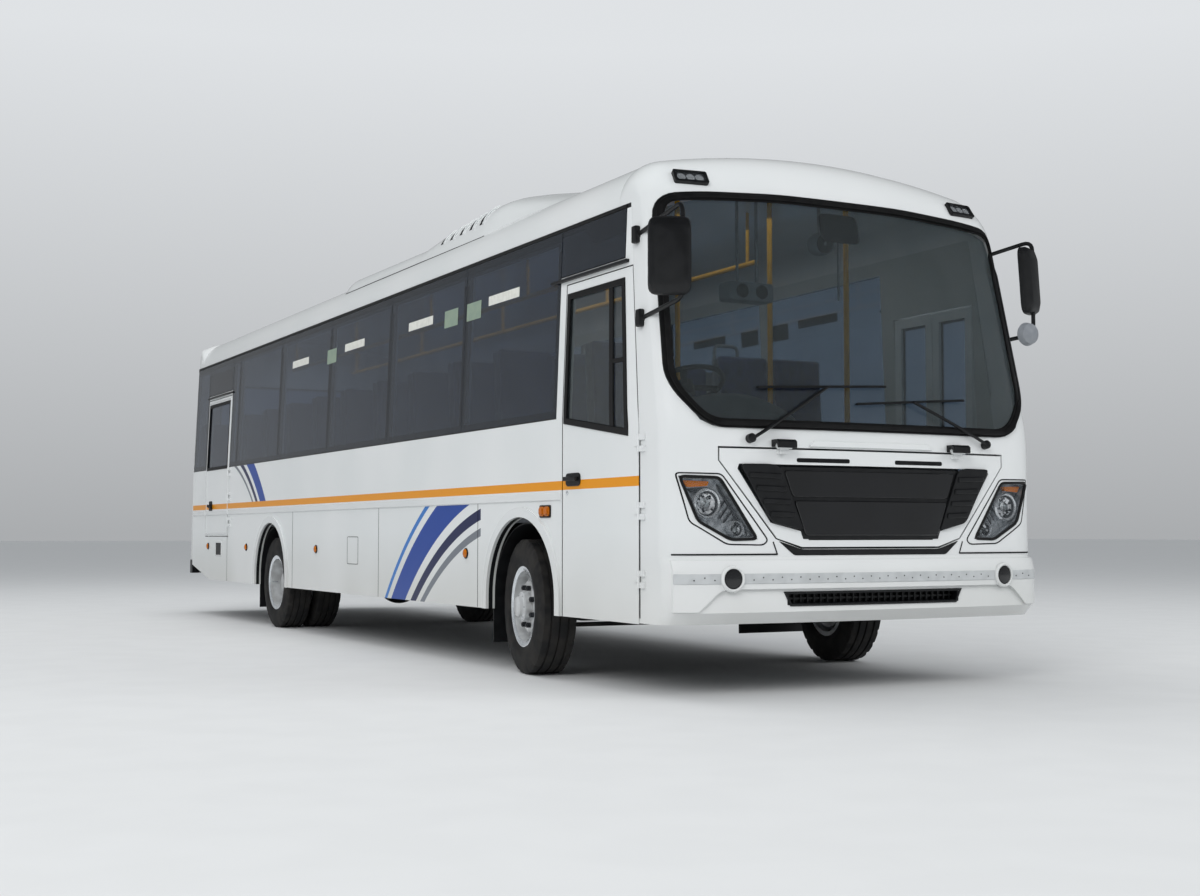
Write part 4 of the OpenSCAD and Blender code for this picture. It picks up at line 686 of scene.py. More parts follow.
# Grille: dark panel with a raised middle and ribbed wings, and the flap's two slots over it as strips of
# painted shade
MIDDLE = [(0.575, 1.172), (0.440, 0.812), (-0.440, 0.812), (-0.575, 1.172)]
WING = [(0.822, 1.190), (0.640, 1.192), (0.585, 1.176), (0.448, 0.850), (0.640, 0.892)]
form = bmesh.new()
sheet(form, inset(MIDDLE, -0.006), FLAP, -0.006, 0.004)
make("grille_panel", form, black_plastic, "flap", 0.002, "grille")
form = bmesh.new()
upper = [(0.562, 1.160), (0.510, 1.022), (-0.510, 1.022), (-0.562, 1.160)]
lower = [(0.503, 1.004), (0.436, 0.824), (-0.436, 0.824), (-0.503, 1.004)]
for panel, lift in ((upper, 0.010), (lower, 0.015)):
    sheet(form, rounded(panel, 0.02), FLAP, 0.002, lift)
make("grille_middle", form, black_enamel, "flap", 0.004)
form = bmesh.new()
for outline in both(on_side(RIGHT, WING)):
    sheet(form, rounded(outline, 0.03), FLAP, -0.004, 0.016)
make("grille_wings", form, black_plastic, "flap", 0.006)
form = bmesh.new()
for z in (1.128, 1.062, 0.996, 0.930):
    ends = []
    for (y0, z0), (y1, z1) in zip(WING, WING[1:] + WING[:1]):
        if (z0 - z) * (z1 - z) < 0:
            ends.append(y0 + (y1 - y0) * (z - z0) / (z1 - z0))
    inner, outer = min(ends) + 0.020, max(ends) - 0.012
    for side in (RIGHT, LEFT):
        strip(form, [(side * inner, z), (side * outer, z + 0.006)], 0.030, FLAP, 0.012, 0.024)
make("grille_wing_ribs", form, black_plastic, "flap", 0.008)
# The flap's two slots: thin dark strips of painted shade
form = bmesh.new()
for side in (RIGHT, LEFT):
    sheet(form, rounded(oblong(side * 0.15, 1.203, side * 0.48, 1.225), 0.010), FLAP, -0.001, 0.0015)
make("flap_slot_shade", form, joint_seal_and_shade, "flap")

# Covers over the flap's hinges: bent plate over the pin
form = bmesh.new()
hinge = Vector((joints["flap_hinge"]["pos_m"][0], 0, joints["flap_hinge"]["pos_m"][2]))
PIN_COVER_R = 0.020
over_pin = [(PIN_COVER_R * math.cos(a), PIN_COVER_R * math.sin(a))
            for a in (math.radians(d) for d in range(-15, 181, 15))]
over_pin += [(-0.034, 0.0), (-0.034, 0.038), (0.020, 0.038), (0.034, 0.026), (0.034, -0.006)]
for side in (RIGHT, LEFT):
    bridge(form, [[hinge + Vector((dx, side * 0.575 + y, dz)) for dx, dz in over_pin]
                  for y in (-0.058, -0.02, 0.02, 0.058)])
make("flap_hinge_covers", form, black_plastic, bevel=0.003)
form = bmesh.new()
lip = [(-0.41, 1.284), (-0.38, 1.316), (0.38, 1.316), (0.41, 1.284)]
sheet(form, rounded(lip, 0.015), FRONT_FACE, -0.003, 0.012)
make("flap_top_moulding", form, enamel, bevel=0.004)

# Headlamps: silvered bowl, ringed main lamp, two smaller ones, amber corner, dark fins, clear cover
LAMP = [(-1.150, 1.125), (-0.930, 1.120), (-0.715, 0.805), (-0.870, 0.800), (-1.055, 0.895)]
LAMPS = laid_on("headlamps", TO_REAR)
bowls, covers, rims, bulbs, ambers, fins, seals, cells = forms(8)
# Turned parts of a lamp: form, profile in shares of its radius, steps, whether the profile closes
LAMP_TURNS = (
    (rims, ((0.84, 0.0), (0.84, 0.030), (0.94, 0.036), (1.06, 0.028), (1.10, 0.0)), 36, True),
    (fins, ((0.72, 0.0), (0.72, 0.016), (0.84, 0.022), (0.84, 0.0)), 36, True),
    (cells, ((0, 0.002), (0.73, 0.002), (0.73, 0.014), (0.45, 0.006), (0, 0.004)), 36, False),
    (bulbs, ((0, 0.005), (0.34, 0.005), (0.34, 0.016), (0.26, 0.026), (0.12, 0.032), (0, 0.033)), 28, False),
)
for outline in both(LAMP):
    soft = rounded(outline, 0.03)
    side = 1 if outline[0][0] > 0 else -1
    hoop(bowls, inset(soft, 0.002), inset(soft, 0.012), LAMPS, -0.055, -0.006)
    sheet(bowls, inset(soft, 0.004), LAMPS, -0.058, -0.050, 0.03)
    sheet(covers, inset(soft, 0.003), LAMPS, -0.005, 0.000)
    hoop(seals, inset(soft, -0.005), inset(soft, 0.010), LAMPS, -0.004, 0.004)
    for y, z, radius in ((0.988, 0.985, 0.076), (0.824, 0.856, 0.042), (0.770, 0.832, 0.016)):
        at = LAMPS(side * y, z, -0.051)
        for form, profile, steps, closed in LAMP_TURNS:
            turned(form, scaled(radius, profile), at, TO_FRONT, steps, closed)
    for k in range(5):
        a = LAMPS(side * (0.930 - 0.022 * k), 0.930 - 0.020 * k, -0.052)
        b = LAMPS(side * (0.880 - 0.022 * k), 1.000 - 0.026 * k, -0.052)
        pipe(fins, [a + Vector((0.012, 0, 0)), b + Vector((0.012, 0, 0))], 0.005, 6)
    for form, corners, radius, high in (
            (ambers, ((1.120, 1.102), (0.975, 1.098), (0.985, 1.074), (1.095, 1.068)), 0.008, -0.026),
            (fins, ((1.088, 1.062), (0.985, 1.068), (0.950, 1.052), (1.066, 1.040)), 0.006, -0.020),
            (fins, ((0.925, 1.085), (0.905, 1.040), (0.790, 0.870), (0.770, 0.872)), 0.006, -0.034)):
        sheet(form, rounded(on_side(side, corners), radius), LAMPS, -0.050, high)
make("headlamp_bowls", bowls, reflector, stands_for="headlamps")
make("headlamp_rims", rims, chrome)
make("headlamp_facets", cells, reflector_with_painted_light)
make("headlamp_bulbs", bulbs, dome_glass)
make("headlamp_fins", fins, lamp_dark)
make("headlamp_indicators", ambers, amber_lens)
make("headlamp_covers", covers, clear_lens)
make("headlamp_seals", seals, seal_rubber)

# Panel joints on the front
form = bmesh.new()
for side in (RIGHT, LEFT):
    line = [(1.168, 1.143), (0.919, 1.140), (0.650, 0.800), (0.680, 0.772), (0.892, 0.776), (1.100, 0.890)]
    line = rounded(on_side(side, line), 0.025)
    hoop(form, line, inset(line, 0.007), FRONT_FACE, -0.001, 0.0015, 0.05)
    strip(form, [(side * 0.600, 0.726), (side * 0.625, 0.792)], 0.006, FRONT_FACE, -0.001, 0.0025, 0.02)
    strip(form, [(side * 0.600, 0.728), (side * 1.180, 0.728)], 0.008, FRONT_FACE, -0.001, 0.0030, 0.02)
make("front_panel_joints", form, joint_seal_and_shade)

# Bumper: chin slot, strip with painted shade of its holes, face with a lower recess, fog lamps, slot with
# bars
# Chin slot: a thin dark sheet, painted shade of the opening
form = bmesh.new()
smile = [(-0.595, 0.797), (-0.452, 0.753), (0.452, 0.753), (0.595, 0.797), (0.500, 0.722), (-0.500, 0.722)]
sheet(form, rounded(smile, 0.014), FRONT_FACE, -0.004, 0.0025)
make("chin_slot_shade", form, black_plastic, bevel=0.001)
form = bmesh.new()
strip(form, [(-1.19, 0.606), (1.19, 0.606)], 0.052, BUMPER, 0.014, 0.0215, 0.04)
make("bumper_strip", form, strip_film, bevel=0.002)
FOG_Y, HOLE_PITCH = 0.890, 0.055
# Dark studs along the strip stand in for its row of holes: painted shade
spots = [(BUMPER(y, 0.600 + 0.012 * (k % 2), 0.0215), TO_FRONT) for k, y in
         enumerate(HOLE_PITCH * i for i in range(-20, 21)) if abs(abs(y) - FOG_Y) > 0.08]
fasteners("bumper_strip_hole_shade", spots, joint_seal_and_shade, "body", 8, 0.0036, 0.0024)
form = bmesh.new()
recess = rounded([(-1.075, 0.440), (-0.950, 0.552), (0.950, 0.552), (1.075, 0.440)], 0.05)[5:15]
edge = [(1.190, 0.440), (1.190, 0.700), (-1.190, 0.700), (-1.190, 0.440), (-1.075, 0.440)]
sheet(form, edge + recess + [(1.075, 0.440)], BUMPER, -0.004, 0.018, 0.04)
make("bumper_face", form, enamel, bevel=0.004)
rims, bowls, lenses = forms(3)
for side in (RIGHT, LEFT):
    at = BUMPER(side * FOG_Y, 0.606, 0.021)
    facing = Vector((1, side * 0.09, 0))
    turned(rims, [(0.052, -0.004), (0.052, 0.010), (0.058, 0.013), (0.066, 0.008), (0.068, -0.006)],
           at, facing, 36, True)
    turned(bowls, [(0, -0.005), (0.0525, -0.005), (0.0525, 0.004), (0.040, 0.004), (0, 0.001)], at, facing)
    turned(lenses, [(0, 0.0045), (0.046, 0.0045), (0.046, 0.008), (0.025, 0.011), (0, 0.012)], at, facing)
make("fog_lamp_rims", rims, enamel)
make("fog_lamp_bowls", bowls, black_plastic)
make("fog_lamp_lenses", lenses, black_enamel)
form = bmesh.new()
for k in range(-13, 14):
    y = k * 0.041
    strip(form, [(y - 0.006, 0.462), (y - 0.006, 0.538)], 0.008, BUMPER, -0.060, -0.035)
strip(form, [(-0.57, 0.500), (0.57, 0.500)], 0.010, BUMPER, -0.064, -0.040)
sheet(form, oblong(-0.59, 0.455, 0.59, 0.545), BUMPER, -0.085, -0.075)
make("bumper_slot_mesh", form, black_plastic)
form = bmesh.new()
mouth = [(-0.545, 0.462), (0.545, 0.462), (0.585, 0.538), (-0.585, 0.538)]
hoop(form, mouth, inset(mouth, 0.012), BUMPER, -0.002, 0.006)
duct = oblong(-0.562, 0.468, 0.562, 0.532)
hoop(form, duct, inset(duct, 0.008), BUMPER, -0.080, 0.002)
make("bumper_slot_frame", form, black_plastic, bevel=0.002)

# Wipers: boss, bent arm, blade spine and rubber
form, rubber = forms(2)
for pivot, middle, ends in (((-0.760, 1.318), (-0.270, 1.606), ((-0.690, 1.588), (0.120, 1.624))),
                            ((0.800, 1.325), (0.290, 1.546), ((-0.090, 1.520), (0.670, 1.572)))):
    turned(form, [(0, 0), (0.024, 0), (0.024, 0.030), (0.016, 0.040), (0, 0.042)], SCREEN(*pivot, 0.0),
           (1, 0, 0.15), 16)
    reach = [Vector(pivot).lerp(Vector(middle), t) for t in (0, 0.2, 0.6, 1.0)]
    arm = [SCREEN(p.x, p.y, lift) for p, lift in zip(reach, (0.030, 0.034, 0.034, 0.030))]
    pipe(form, bent(arm, 0.05), 0.009, 8)
    strip(form, ends, 0.013, SCREEN, 0.017, 0.025)
    strip(rubber, ends, 0.007, SCREEN, 0.002, 0.017)
make("wiper_arms", form, black_plastic, stands_for="wipers")
make("wiper_rubbers", rubber, seal_rubber)

# Mirrors: tube arms on brackets, moulded heads, silvered glass, round close-view mirror
MIRROR_HALF, MIRROR_TURN = 0.195, math.radians(26)
tubes, heads, faces, brackets, back = forms(5)
# Each with its feet's x and z on the wall, its bar's x, y, low and top, its head's y, z, width and lean
for side, feet, (bx, by, low, top), (hy, hz, width, lean) in (
        (RIGHT, ((1.365, 2.400), (1.440, 1.950)), (1.850, 1.200, 2.005, 2.485), (1.275, 2.208, 0.215, 0.0)),
        (LEFT, ((1.350, 2.480), (1.440, 1.960)), (1.540, 1.395, 2.010, 2.565), (1.372, 2.325, 0.160, 0.16))):
    x = AXLE + bx
    start, end = feet
    wall = [HALF - TUMBLE * max(0, z - WAIST) for _, z in feet]
    pipe(tubes, bent([(AXLE + start[0], side * wall[0], start[1]), (x, side * by, top), (x, side * by, low),
                      (AXLE + end[0], side * wall[1], end[1])], 0.06), 0.012)
    for (fx, fz), y in zip(feet, wall):
        turned(tubes, [(0, 0), (0.030, 0), (0.030, 0.012), (0.018, 0.026), (0, 0.026)],
               (AXLE + fx, side * y, fz), (0, side, 0), 20)
        near, far = sorted((side * (y - 0.004), side * (y + 0.030)))
        block(brackets, (AXLE + fx - 0.024, near, fz - 0.046), (AXLE + fx + 0.024, far, fz + 0.046))
    outline = rounded(oblong(-width / 2, -MIRROR_HALF, width / 2, MIRROR_HALF), 0.05, 5)
    middle = Vector((x, side * hy, hz))
    turn = Matrix.Rotation(side * MIRROR_TURN, 3, "Z")
    for form, steps in ((heads, ((-0.035, 0.97), (-0.032, 1.0), (0.0, 1.0), (0.022, 0.93), (0.035, 0.75))),
                        (faces, ((-0.037, 0.92), (-0.034, 0.92)))):
        bridge(form, [[middle + turn @ Vector((dx, (y - lean * z) * k, z * k)) for y, z in outline]
                      for dx, k in steps])
at = (AXLE + 1.540, 1.360, 2.010)
bulge = [(0, 0.035), (0.030, 0.032), (0.060, 0.015), (0.070, -0.020), (0.064, -0.030), (0, -0.030)]
turned(back, bulge, at, TO_FRONT, 28)
turned(faces, [(0, -0.036), (0.03, -0.035), (0.058, -0.031), (0.058, -0.029), (0, -0.029)], at, TO_FRONT, 28)
make("mirror_arms", tubes, black_plastic, stands_for="mirrors")
make("mirror_heads", heads, black_plastic, bevel=0.004)
make("mirror_brackets", brackets, black_plastic, bevel=0.008)
make("mirror_faces", faces, mirror_glass)
make("round_mirror_back", back, hoop_grey)

# Marker lamps, side repeaters and the two lamps on the brow
WALLS = {RIGHT: laid_on("side_wall_right", TO_LEFT), LEFT: laid_on("side_wall_left", TO_RIGHT)}
domes, bases, brows, frames, bulbs_row = forms(5)
for side, wall in WALLS.items():
    for x in (-7.576, -6.117, -3.975, -0.832):
        at = wall(AXLE + x, 0.708, 0)
        for form, profile in (
                (bases, [(0, 0), (0.034, 0), (0.034, 0.006), (0.029, 0.008), (0, 0.008)]),
                (domes, [(0, 0.007), (0.028, 0.007), (0.028, 0.013), (0.018, 0.018), (0, 0.020)])):
            turned(form, profile, at, (0, side, 0), 28)
    sheet(bases, rounded(from_axle(oblong(0.262, 0.926, 0.408, 0.998)), 0.012), wall, -0.001, 0.005)
    for x0, x1 in ((0.272, 0.333), (0.337, 0.398)):
        lobe = rounded(from_axle(oblong(x0, 0.934, x1, 0.990)), 0.02)
        sheet(domes, lobe, wall, 0.004, 0.014)
        sheet(domes, inset(lobe, 0.010), wall, 0.013, 0.021)
    spot = FRONT_FACE(side * 0.915, 2.712, 0)
    brow = flat_at(spot, facing_at(FRONT_FACE, side * 0.915, 2.700))
    rim = rounded(oblong(-0.098, -0.044, 0.098, 0.044), 0.014)
    hoop(frames, rim, inset(rim, 0.016), brow, -0.020, 0.018)
    sheet(frames, inset(rim, 0.010), brow, -0.018, 0.002)
    for k in (-1, 0, 1):
        turned(bulbs_row, [(0, 0.0), (0.020, 0.0), (0.024, 0.006), (0.014, 0.004), (0, 0.003)],
               brow(k * 0.052, 0, 0.002), brow(0, 0, 1) - brow(0, 0, 0), 20)
    sheet(brows, inset(rim, 0.014), brow, 0.009, 0.013)
make("marker_lenses", domes, amber_lens, bevel=0.002, stands_for="side_lamps")
make("marker_bases", bases, seal_rubber)
make("brow_lamp_lenses", brows, clear_lens, bevel=0.002)
make("brow_lamp_frames", frames, black_plastic, bevel=0.002)
make("brow_lamp_reflectors", bulbs_row, chrome)

# Sides: mouldings, gutters, joints, handles, window frames

MOULDING_Z, MOULDING_W = 1.046, 0.044
mouldings, gutters, lines = forms(3)
for side, wall in WALLS.items():
    spans = ((-8.24, -7.73), (-6.785, 0.535)) if side == RIGHT else ((-8.24, 0.535),)
    for x0, x1 in spans:
        strip(mouldings, level(x0, x1, MOULDING_Z), MOULDING_W, wall, -0.002, 0.008, 0.5)
    strip(gutters, level(0.36, 1.28, 2.278), 0.018, wall, -0.002, 0.022, 0.3)
    if side == RIGHT:
        strip(gutters, level(-7.75, -6.77, 2.228), 0.016, wall, -0.002, 0.020, 0.3)
    for x in (-6.83, -4.64, -2.48, -0.645):
        strip(lines, [(AXLE + x, 0.372), (AXLE + x, 1.022)], 0.004, wall, -0.001, 0.0012, 0.3)
    lid = rounded(from_axle(oblong(-3.19, 0.60, -2.935, 0.812)), 0.02)
    hoop(lines, lid, inset(lid, 0.004), wall, -0.001, 0.0012)
make("waist_mouldings", mouldings, enamel, bevel=0.003)
make("rain_gutters", gutters, black_plastic, bevel=0.003)
make("side_panel_joints", lines, joint_seal_and_shade)

# Black strips down the front pillars: rubber seals and painted shade of the door gaps
form = bmesh.new()
for side in (RIGHT, LEFT):
    pillar = laid_on("front_fascia", INWARD[side])
    strip(form, [(AXLE + 1.447, 0.400), (AXLE + 1.447, 1.340)], 0.008, pillar, -0.002, 0.002, 0.1)
make("pillar_seals_and_gap_shade", form, seal_rubber)
DOOR = laid_on("driver_door", TO_LEFT)
DOOR_GLASS = laid_on("driver_door_glass", TO_LEFT)
window = from_axle(((0.585, 1.465), (1.310, 1.360), (1.310, 1.400), (1.230, 2.180), (0.585, 2.180)))
form = bmesh.new()
hoop(form, inset(window, -0.014), inset(window, 0.022), DOOR, -0.004, 0.006)
strip(form, [(AXLE + 1.140, 1.385), (AXLE + 1.085, 2.175)], 0.045, DOOR_GLASS, -0.001, 0.008)
strip(form, level(1.120, 1.285, 1.756), 0.022, DOOR_GLASS, -0.001, 0.008)
make("driver_window_frame", form, seal_rubber, "driver_door", 0.003)
form = bmesh.new()
sheet(form, rounded(from_axle(oblong(0.600, 1.098, 0.780, 1.172)), 0.03), DOOR, -0.001, 0.006)
strip(form, [(AXLE + 0.615, 1.140), (AXLE + 0.765, 1.136)], 0.024, DOOR, 0.018, 0.032)
for x in (0.635, 0.750):
    strip(form, level(x - 0.01, x + 0.01, 1.138), 0.02, DOOR, 0.004, 0.022)
make("driver_door_handle", form, black_plastic, "driver_door", 0.004)
form = bmesh.new()
turned(form, [(0, 0), (0.013, 0), (0.013, 0.003), (0.009, 0.005), (0, 0.005)], DOOR(AXLE + 0.615, 1.061, 0),
       TO_RIGHT, 20)
make("driver_door_lock", form, chrome, "driver_door")

EXIT = laid_on("emergency_door", TO_LEFT)
form = bmesh.new()
frame_line = from_axle(oblong(-7.690, 0.830, -6.830, 2.180))
hoop(form, frame_line, inset(frame_line, 0.012), EXIT, -0.002, 0.005, 0.2)
strip(form, level(-7.70, -6.812, MOULDING_Z), MOULDING_W, EXIT, -0.002, 0.008, 0.3)
make("emergency_door_mouldings", form, enamel, "emergency_door", 0.003)
form = bmesh.new()
pane = from_axle(oblong(-7.660, 1.490, -6.855, 2.145))
hoop(form, inset(pane, -0.012), inset(pane, 0.020), EXIT, -0.004, 0.005)
sheet(form, rounded(from_axle(oblong(-7.560, 1.050, -7.440, 1.165)), 0.02), EXIT, -0.001, 0.006)
strip(form, [(AXLE - 7.555, 1.120), (AXLE - 7.400, 1.095)], 0.026, EXIT, 0.014, 0.028)
make("emergency_door_fittings", form, seal_rubber, "emergency_door", 0.003)
form = bmesh.new()
step = rounded(from_axle(oblong(-7.276, 0.611, -7.040, 0.758)), 0.02)
hoop(form, step, inset(step, 0.014), WALLS[RIGHT], -0.002, 0.006)
make("step_recess_frame", form, enamel, bevel=0.002)
# A flat black sheet inside the frame: painted shade of the step's hollow
form = bmesh.new()
sheet(form, inset(step, 0.012), WALLS[RIGHT], -0.001, 0.002)
make("shade_painted_step_recess", form, black_plastic)

# Screen seal: a rubber band with a raised bead round the glass
TOP_HALF = HALF - TUMBLE * (2.600 - WAIST) - 0.040
edge = [(0.413, 2.654), (0.885, 2.630), (TOP_HALF, 2.598), (1.180, 1.590), (1.000, 1.380)]
edge = edge + [(-y, z) for y, z in reversed(edge)]
edge = rounded(edge, 0.11, 6)
form = bmesh.new()
for out, into, low, high in ((-0.008, 0.040, -0.006, 0.010), (0.004, 0.028, 0.008, 0.016)):
    hoop(form, inset(edge, out), inset(edge, into), SCREEN, low, high, 0.05)
make("screen_seal", form, seal_rubber, bevel=0.003, stands_for="windscreen_seal")

# Seals along the glass band, and blank notices and green films on the panes
form, notices, films = forms(3)
for side, wall in WALLS.items():
    strip(form, level(-8.22, 1.240, 2.579), 0.020, wall, -0.002, 0.005, 0.5)
    panes = laid_on("side_glass", INWARD[side])
    labels = [(notices, -0.33 - 1.410 * k, 2.272, 0.23, 0.060) for k in range(4)]
    labels += [(films, x, 2.214, 0.115, 0.115) for x in (-0.794, -1.178, -3.706)]
    for held, x, z, half, tall in labels:
        sheet(held, oblong(AXLE + x - half, z, AXLE + x + half, z + tall), panes, 0.0002, 0.0012)
make("glass_band_seals", form, seal_rubber, bevel=0.002)
make("blank_notices", notices, plate_white)
make("pane_films", films, green_film)

# Roof pod: a low rear part and a taller front part with a long nose, its foot near the roof's edges
# Tables: rise over the roof by x from the axle, share of it from the middle to the foot, how the ends draw in
POD_REAR, POD_NOSE, POD_FOOT = -4.00, 0.26, 1.105
POD_RISE = ((POD_REAR, -0.020), (-3.93, 0.016), (-3.83, 0.058), (-3.68, 0.074), (-2.06, 0.068),
            (-1.92, 0.092), (-1.76, 0.112), (-0.92, 0.164), (-0.72, 0.168), (-0.44, 0.124), (0.00, 0.048),
            (POD_NOSE, -0.020))
POD_SIDE = ((0.0, 1.10), (0.45, 1.08), (0.70, 1.05), (0.88, 1.0), (0.97, 0.91), (1.03, 0.74), (1.075, 0.42),
            (POD_FOOT, -0.20))
POD_ENDS = ((POD_REAR, 0.86), (-3.66, 1.0), (-0.85, 1.0), (POD_NOSE, 0.90))
# Rings along the pod, rows from its middle to a side, how far it sits in the roof, depth of its underside
POD_RINGS, POD_ROWS, POD_SUNK, POD_UNDER = 72, 24, 0.004, 0.03
ROOF = laid_on("roof", DOWN)


def eased(table, at, span):
    """A table's value at a place, its corners rounded over a span."""
    total = 0.0
    for k in range(-3, 4):
        spot = min(max(at + span * k / 3, table[0][0]), table[-1][0])
        for (a, low), (b, high) in zip(table, table[1:]):
            if spot <= b:
                total += low + (high - low) * (spot - a) / (b - a)
                break
    return total / 7


def drawn_in(u):
    """The pod's width at a place along it, as a share of its full width."""
    return eased(POD_ENDS, u - AXLE, 0.08)


def on_pod(u, v, lift):
    """place(u, v, lift) on the pod's shell."""
    rise = eased(POD_RISE, u - AXLE, 0.05) * eased(POD_SIDE, abs(v) / drawn_in(u), 0.025)
    return ROOF(u, v, rise - POD_SUNK + lift)


rows = [POD_FOOT * (1 - (1 - k / POD_ROWS) ** 1.7) for k in range(POD_ROWS + 1)]
rows = [-v for v in reversed(rows[1:])] + rows
rings = []
for k in range(POD_RINGS):
    x = AXLE + POD_REAR + (POD_NOSE - POD_REAR) * k / (POD_RINGS - 1)
    spread = [v * drawn_in(x) for v in rows]
    rings.append([on_pod(x, v, 0) for v in spread] + [ROOF(x, v, -POD_UNDER) for v in reversed(spread)])
form = bmesh.new()
bridge(form, rings)
make("pod_shell", form, enamel, stands_for="roof_pod")
# Slits in the pod's sides, drawn as dark strips of painted shade: how many, where the first is, their pitch,
# and how far ahead each one's hood is
SLITS, FIRST_SLIT, SLIT_PITCH, HOOD_AHEAD = 5, -0.98, 0.17, 0.038
form, hoods = forms(2)
for side in (RIGHT, LEFT):
    for k in range(SLITS):
        x = AXLE + FIRST_SLIT - SLIT_PITCH * k
        strip(form, [(x, side * 1.062), (x, side * 0.940)], 0.050, on_pod, -0.002, 0.003, 0.02)
        x += HOOD_AHEAD
        strip(hoods, [(x, side * 1.066), (x, side * 0.936)], 0.022, on_pod, -0.002, 0.014, 0.02)
    strip(form, level(-1.80, -0.84, side * 0.912), 0.008, on_pod, -0.002, 0.002, 0.06)
    strip(form, level(-3.64, -0.85, side * 1.097), 0.007, ROOF, -0.004, 0.003, 0.2)
make("pod_slit_shade_and_joints", form, joint_seal_and_shade)
make("pod_louvre_hoods", hoods, enamel, bevel=0.005)

# Rear: corner fillers under the roof's end, window rubber, lamp lenses, blank plate, lid joints
form = bmesh.new()
corner = [(1.1745, 2.588), (1.1745, 2.620), (1.1715, 2.640), (1.1675, 2.660), (1.1615, 2.680),
          (1.1535, 2.700), (1.130, 2.700), (1.130, 2.588)]
for side in (RIGHT, LEFT):
    bridge(form, [[Vector((AXLE + x, side * y, z)) for y, z in corner] for x in (-8.17, -8.05)])
make("roof_corner_fillers", form, enamel)
BACK = laid_on("rear_wall rear_window rear_lamps", TO_FRONT)
edge = rounded(oblong(-0.920, 1.560, 0.920, 2.440), 0.06)
form = bmesh.new()
hoop(form, inset(edge, -0.020), inset(edge, 0.022), BACK, -0.006, 0.010)
make("rear_window_seal", form, seal_rubber, bevel=0.003)
reds, ambers, clears, frames = forms(4)
for side in (RIGHT, LEFT):
    y0, y1 = sorted((side * 0.940, side * 1.080))
    for form, z0, z1 in ((ambers, 1.120, 1.270), (reds, 0.965, 1.110), (clears, 0.810, 0.955)):
        cell = rounded(oblong(y0, z0, y1, z1), 0.015)
        sheet(form, cell, BACK, -0.002, 0.014)
        hoop(frames, inset(cell, -0.006), inset(cell, 0.002), BACK, -0.004, 0.009)
make("rear_indicator_lenses", ambers, amber_lens, bevel=0.004)
make("rear_stop_lenses", reds, red_lens, bevel=0.004, stands_for="rear_lamps")
make("rear_reverse_lenses", clears, clear_lens, bevel=0.004)
make("rear_lamp_frames", frames, black_plastic, bevel=0.002)
form = bmesh.new()
sheet(form, rounded(oblong(-0.26, 0.640, 0.26, 0.760), 0.012), BACK, 0.001, 0.006)
make("rear_plate", form, plate_white)
form = bmesh.new()
rim = rounded(oblong(-0.275, 0.626, 0.275, 0.774), 0.014)
hoop(form, rim, inset(rim, 0.013), BACK, -0.002, 0.009)
for y in (-0.16, 0.16):
    sheet(form, rounded(oblong(y - 0.05, 0.780, y + 0.05, 0.806), 0.008), BACK, -0.002, 0.024)
make("rear_plate_frame", form, black_plastic, bevel=0.002)
form = bmesh.new()
lid = rounded(oblong(-0.80, 0.600, 0.80, 1.380), 0.05)
hoop(form, lid, inset(lid, 0.008), BACK, -0.001, 0.0015)
sheet(form, rounded(oblong(-0.09, 0.830, 0.09, 0.875), 0.012), BACK, -0.001, 0.010)
make("rear_lid_joint", form, joint_seal_and_shade)

# Entry doors: black rubbers round each leaf's glass
for leaf, glazing, body in (("entry_leaf_front", "entry_glass_front", "entry_front_leaf"),
                            ("entry_leaf_rear", "entry_glass_rear", "entry_rear_leaf")):
    face = laid_on(leaf + " " + glazing, TO_RIGHT)
    low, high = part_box(glazing)
    edge = oblong(low[0], low[2], high[0], high[2])
    form = bmesh.new()
    hoop(form, inset(edge, -0.010), inset(edge, 0.014), face, -0.003, 0.004)
    make(leaf + "_rubbers", form, seal_rubber, body, 0.002)

# Tyres: grooved tread, lugged shoulders and ribbed walls, turned about each wheel's axle

TYRE_R, TWIN_OFF = 0.400, 0.135
WHEELS = (("front_right", "wheel_fr", RIGHT), ("front_left", "wheel_fl", LEFT),
          ("rear_right", "wheel_rr", RIGHT), ("rear_left", "wheel_rl", LEFT))
TREAD = [(-0.0955, 0.0), (-0.060, 0.0), (-0.056, 0.011), (-0.049, 0.011), (-0.045, 0.0), (-0.0055, 0.0),
         (-0.0035, 0.011)]
TREAD = TREAD + [(-y, d) for y, d in reversed(TREAD)]
WALL = [(0.222, 0.070), (0.238, 0.084), (0.2385, 0.100), (0.252, 0.110), (0.262, 0.1115), (0.264, 0.113),
        (0.300, 0.1172), (0.304, 0.1160), (0.330, 0.1168), (0.334, 0.1150), (0.352, 0.1140), (0.372, 0.1085),
        (0.386, 0.1045)]
SECTION = [(r, -y) for r, y in WALL] + [(TYRE_R - d, y) for y, d in TREAD] + WALL[::-1]
# Steps round a tyre, steps from lug to lug and in the gap between two, the gap's depth, and where lugs begin
TURNS, LUG_PITCH, LUG_GAP, LUG_DEPTH, LUG_OFF, LUG_R = 192, 8, 2, 0.008, 0.09, 0.37


def tyre(form, centre, axle):
    """One tyre about an axle, its shoulders grooved between lugs."""
    axle = Vector(axle).normalized()
    up = Vector((0, 0, 1))
    ahead = axle.cross(up).normalized()
    rings = []
    for k in range(TURNS):
        angle = 2 * math.pi * k / TURNS
        way = ahead * math.cos(angle) + up * math.sin(angle)
        ring = []
        for radius, offset in SECTION:
            gap = k % LUG_PITCH < LUG_GAP and abs(offset) > LUG_OFF and radius > LUG_R
            ring.append(Vector(centre) + axle * offset + way * (radius - (LUG_DEPTH if gap else 0.0)))
        rings.append(ring)
    bridge(form, rings, round_trip=True)


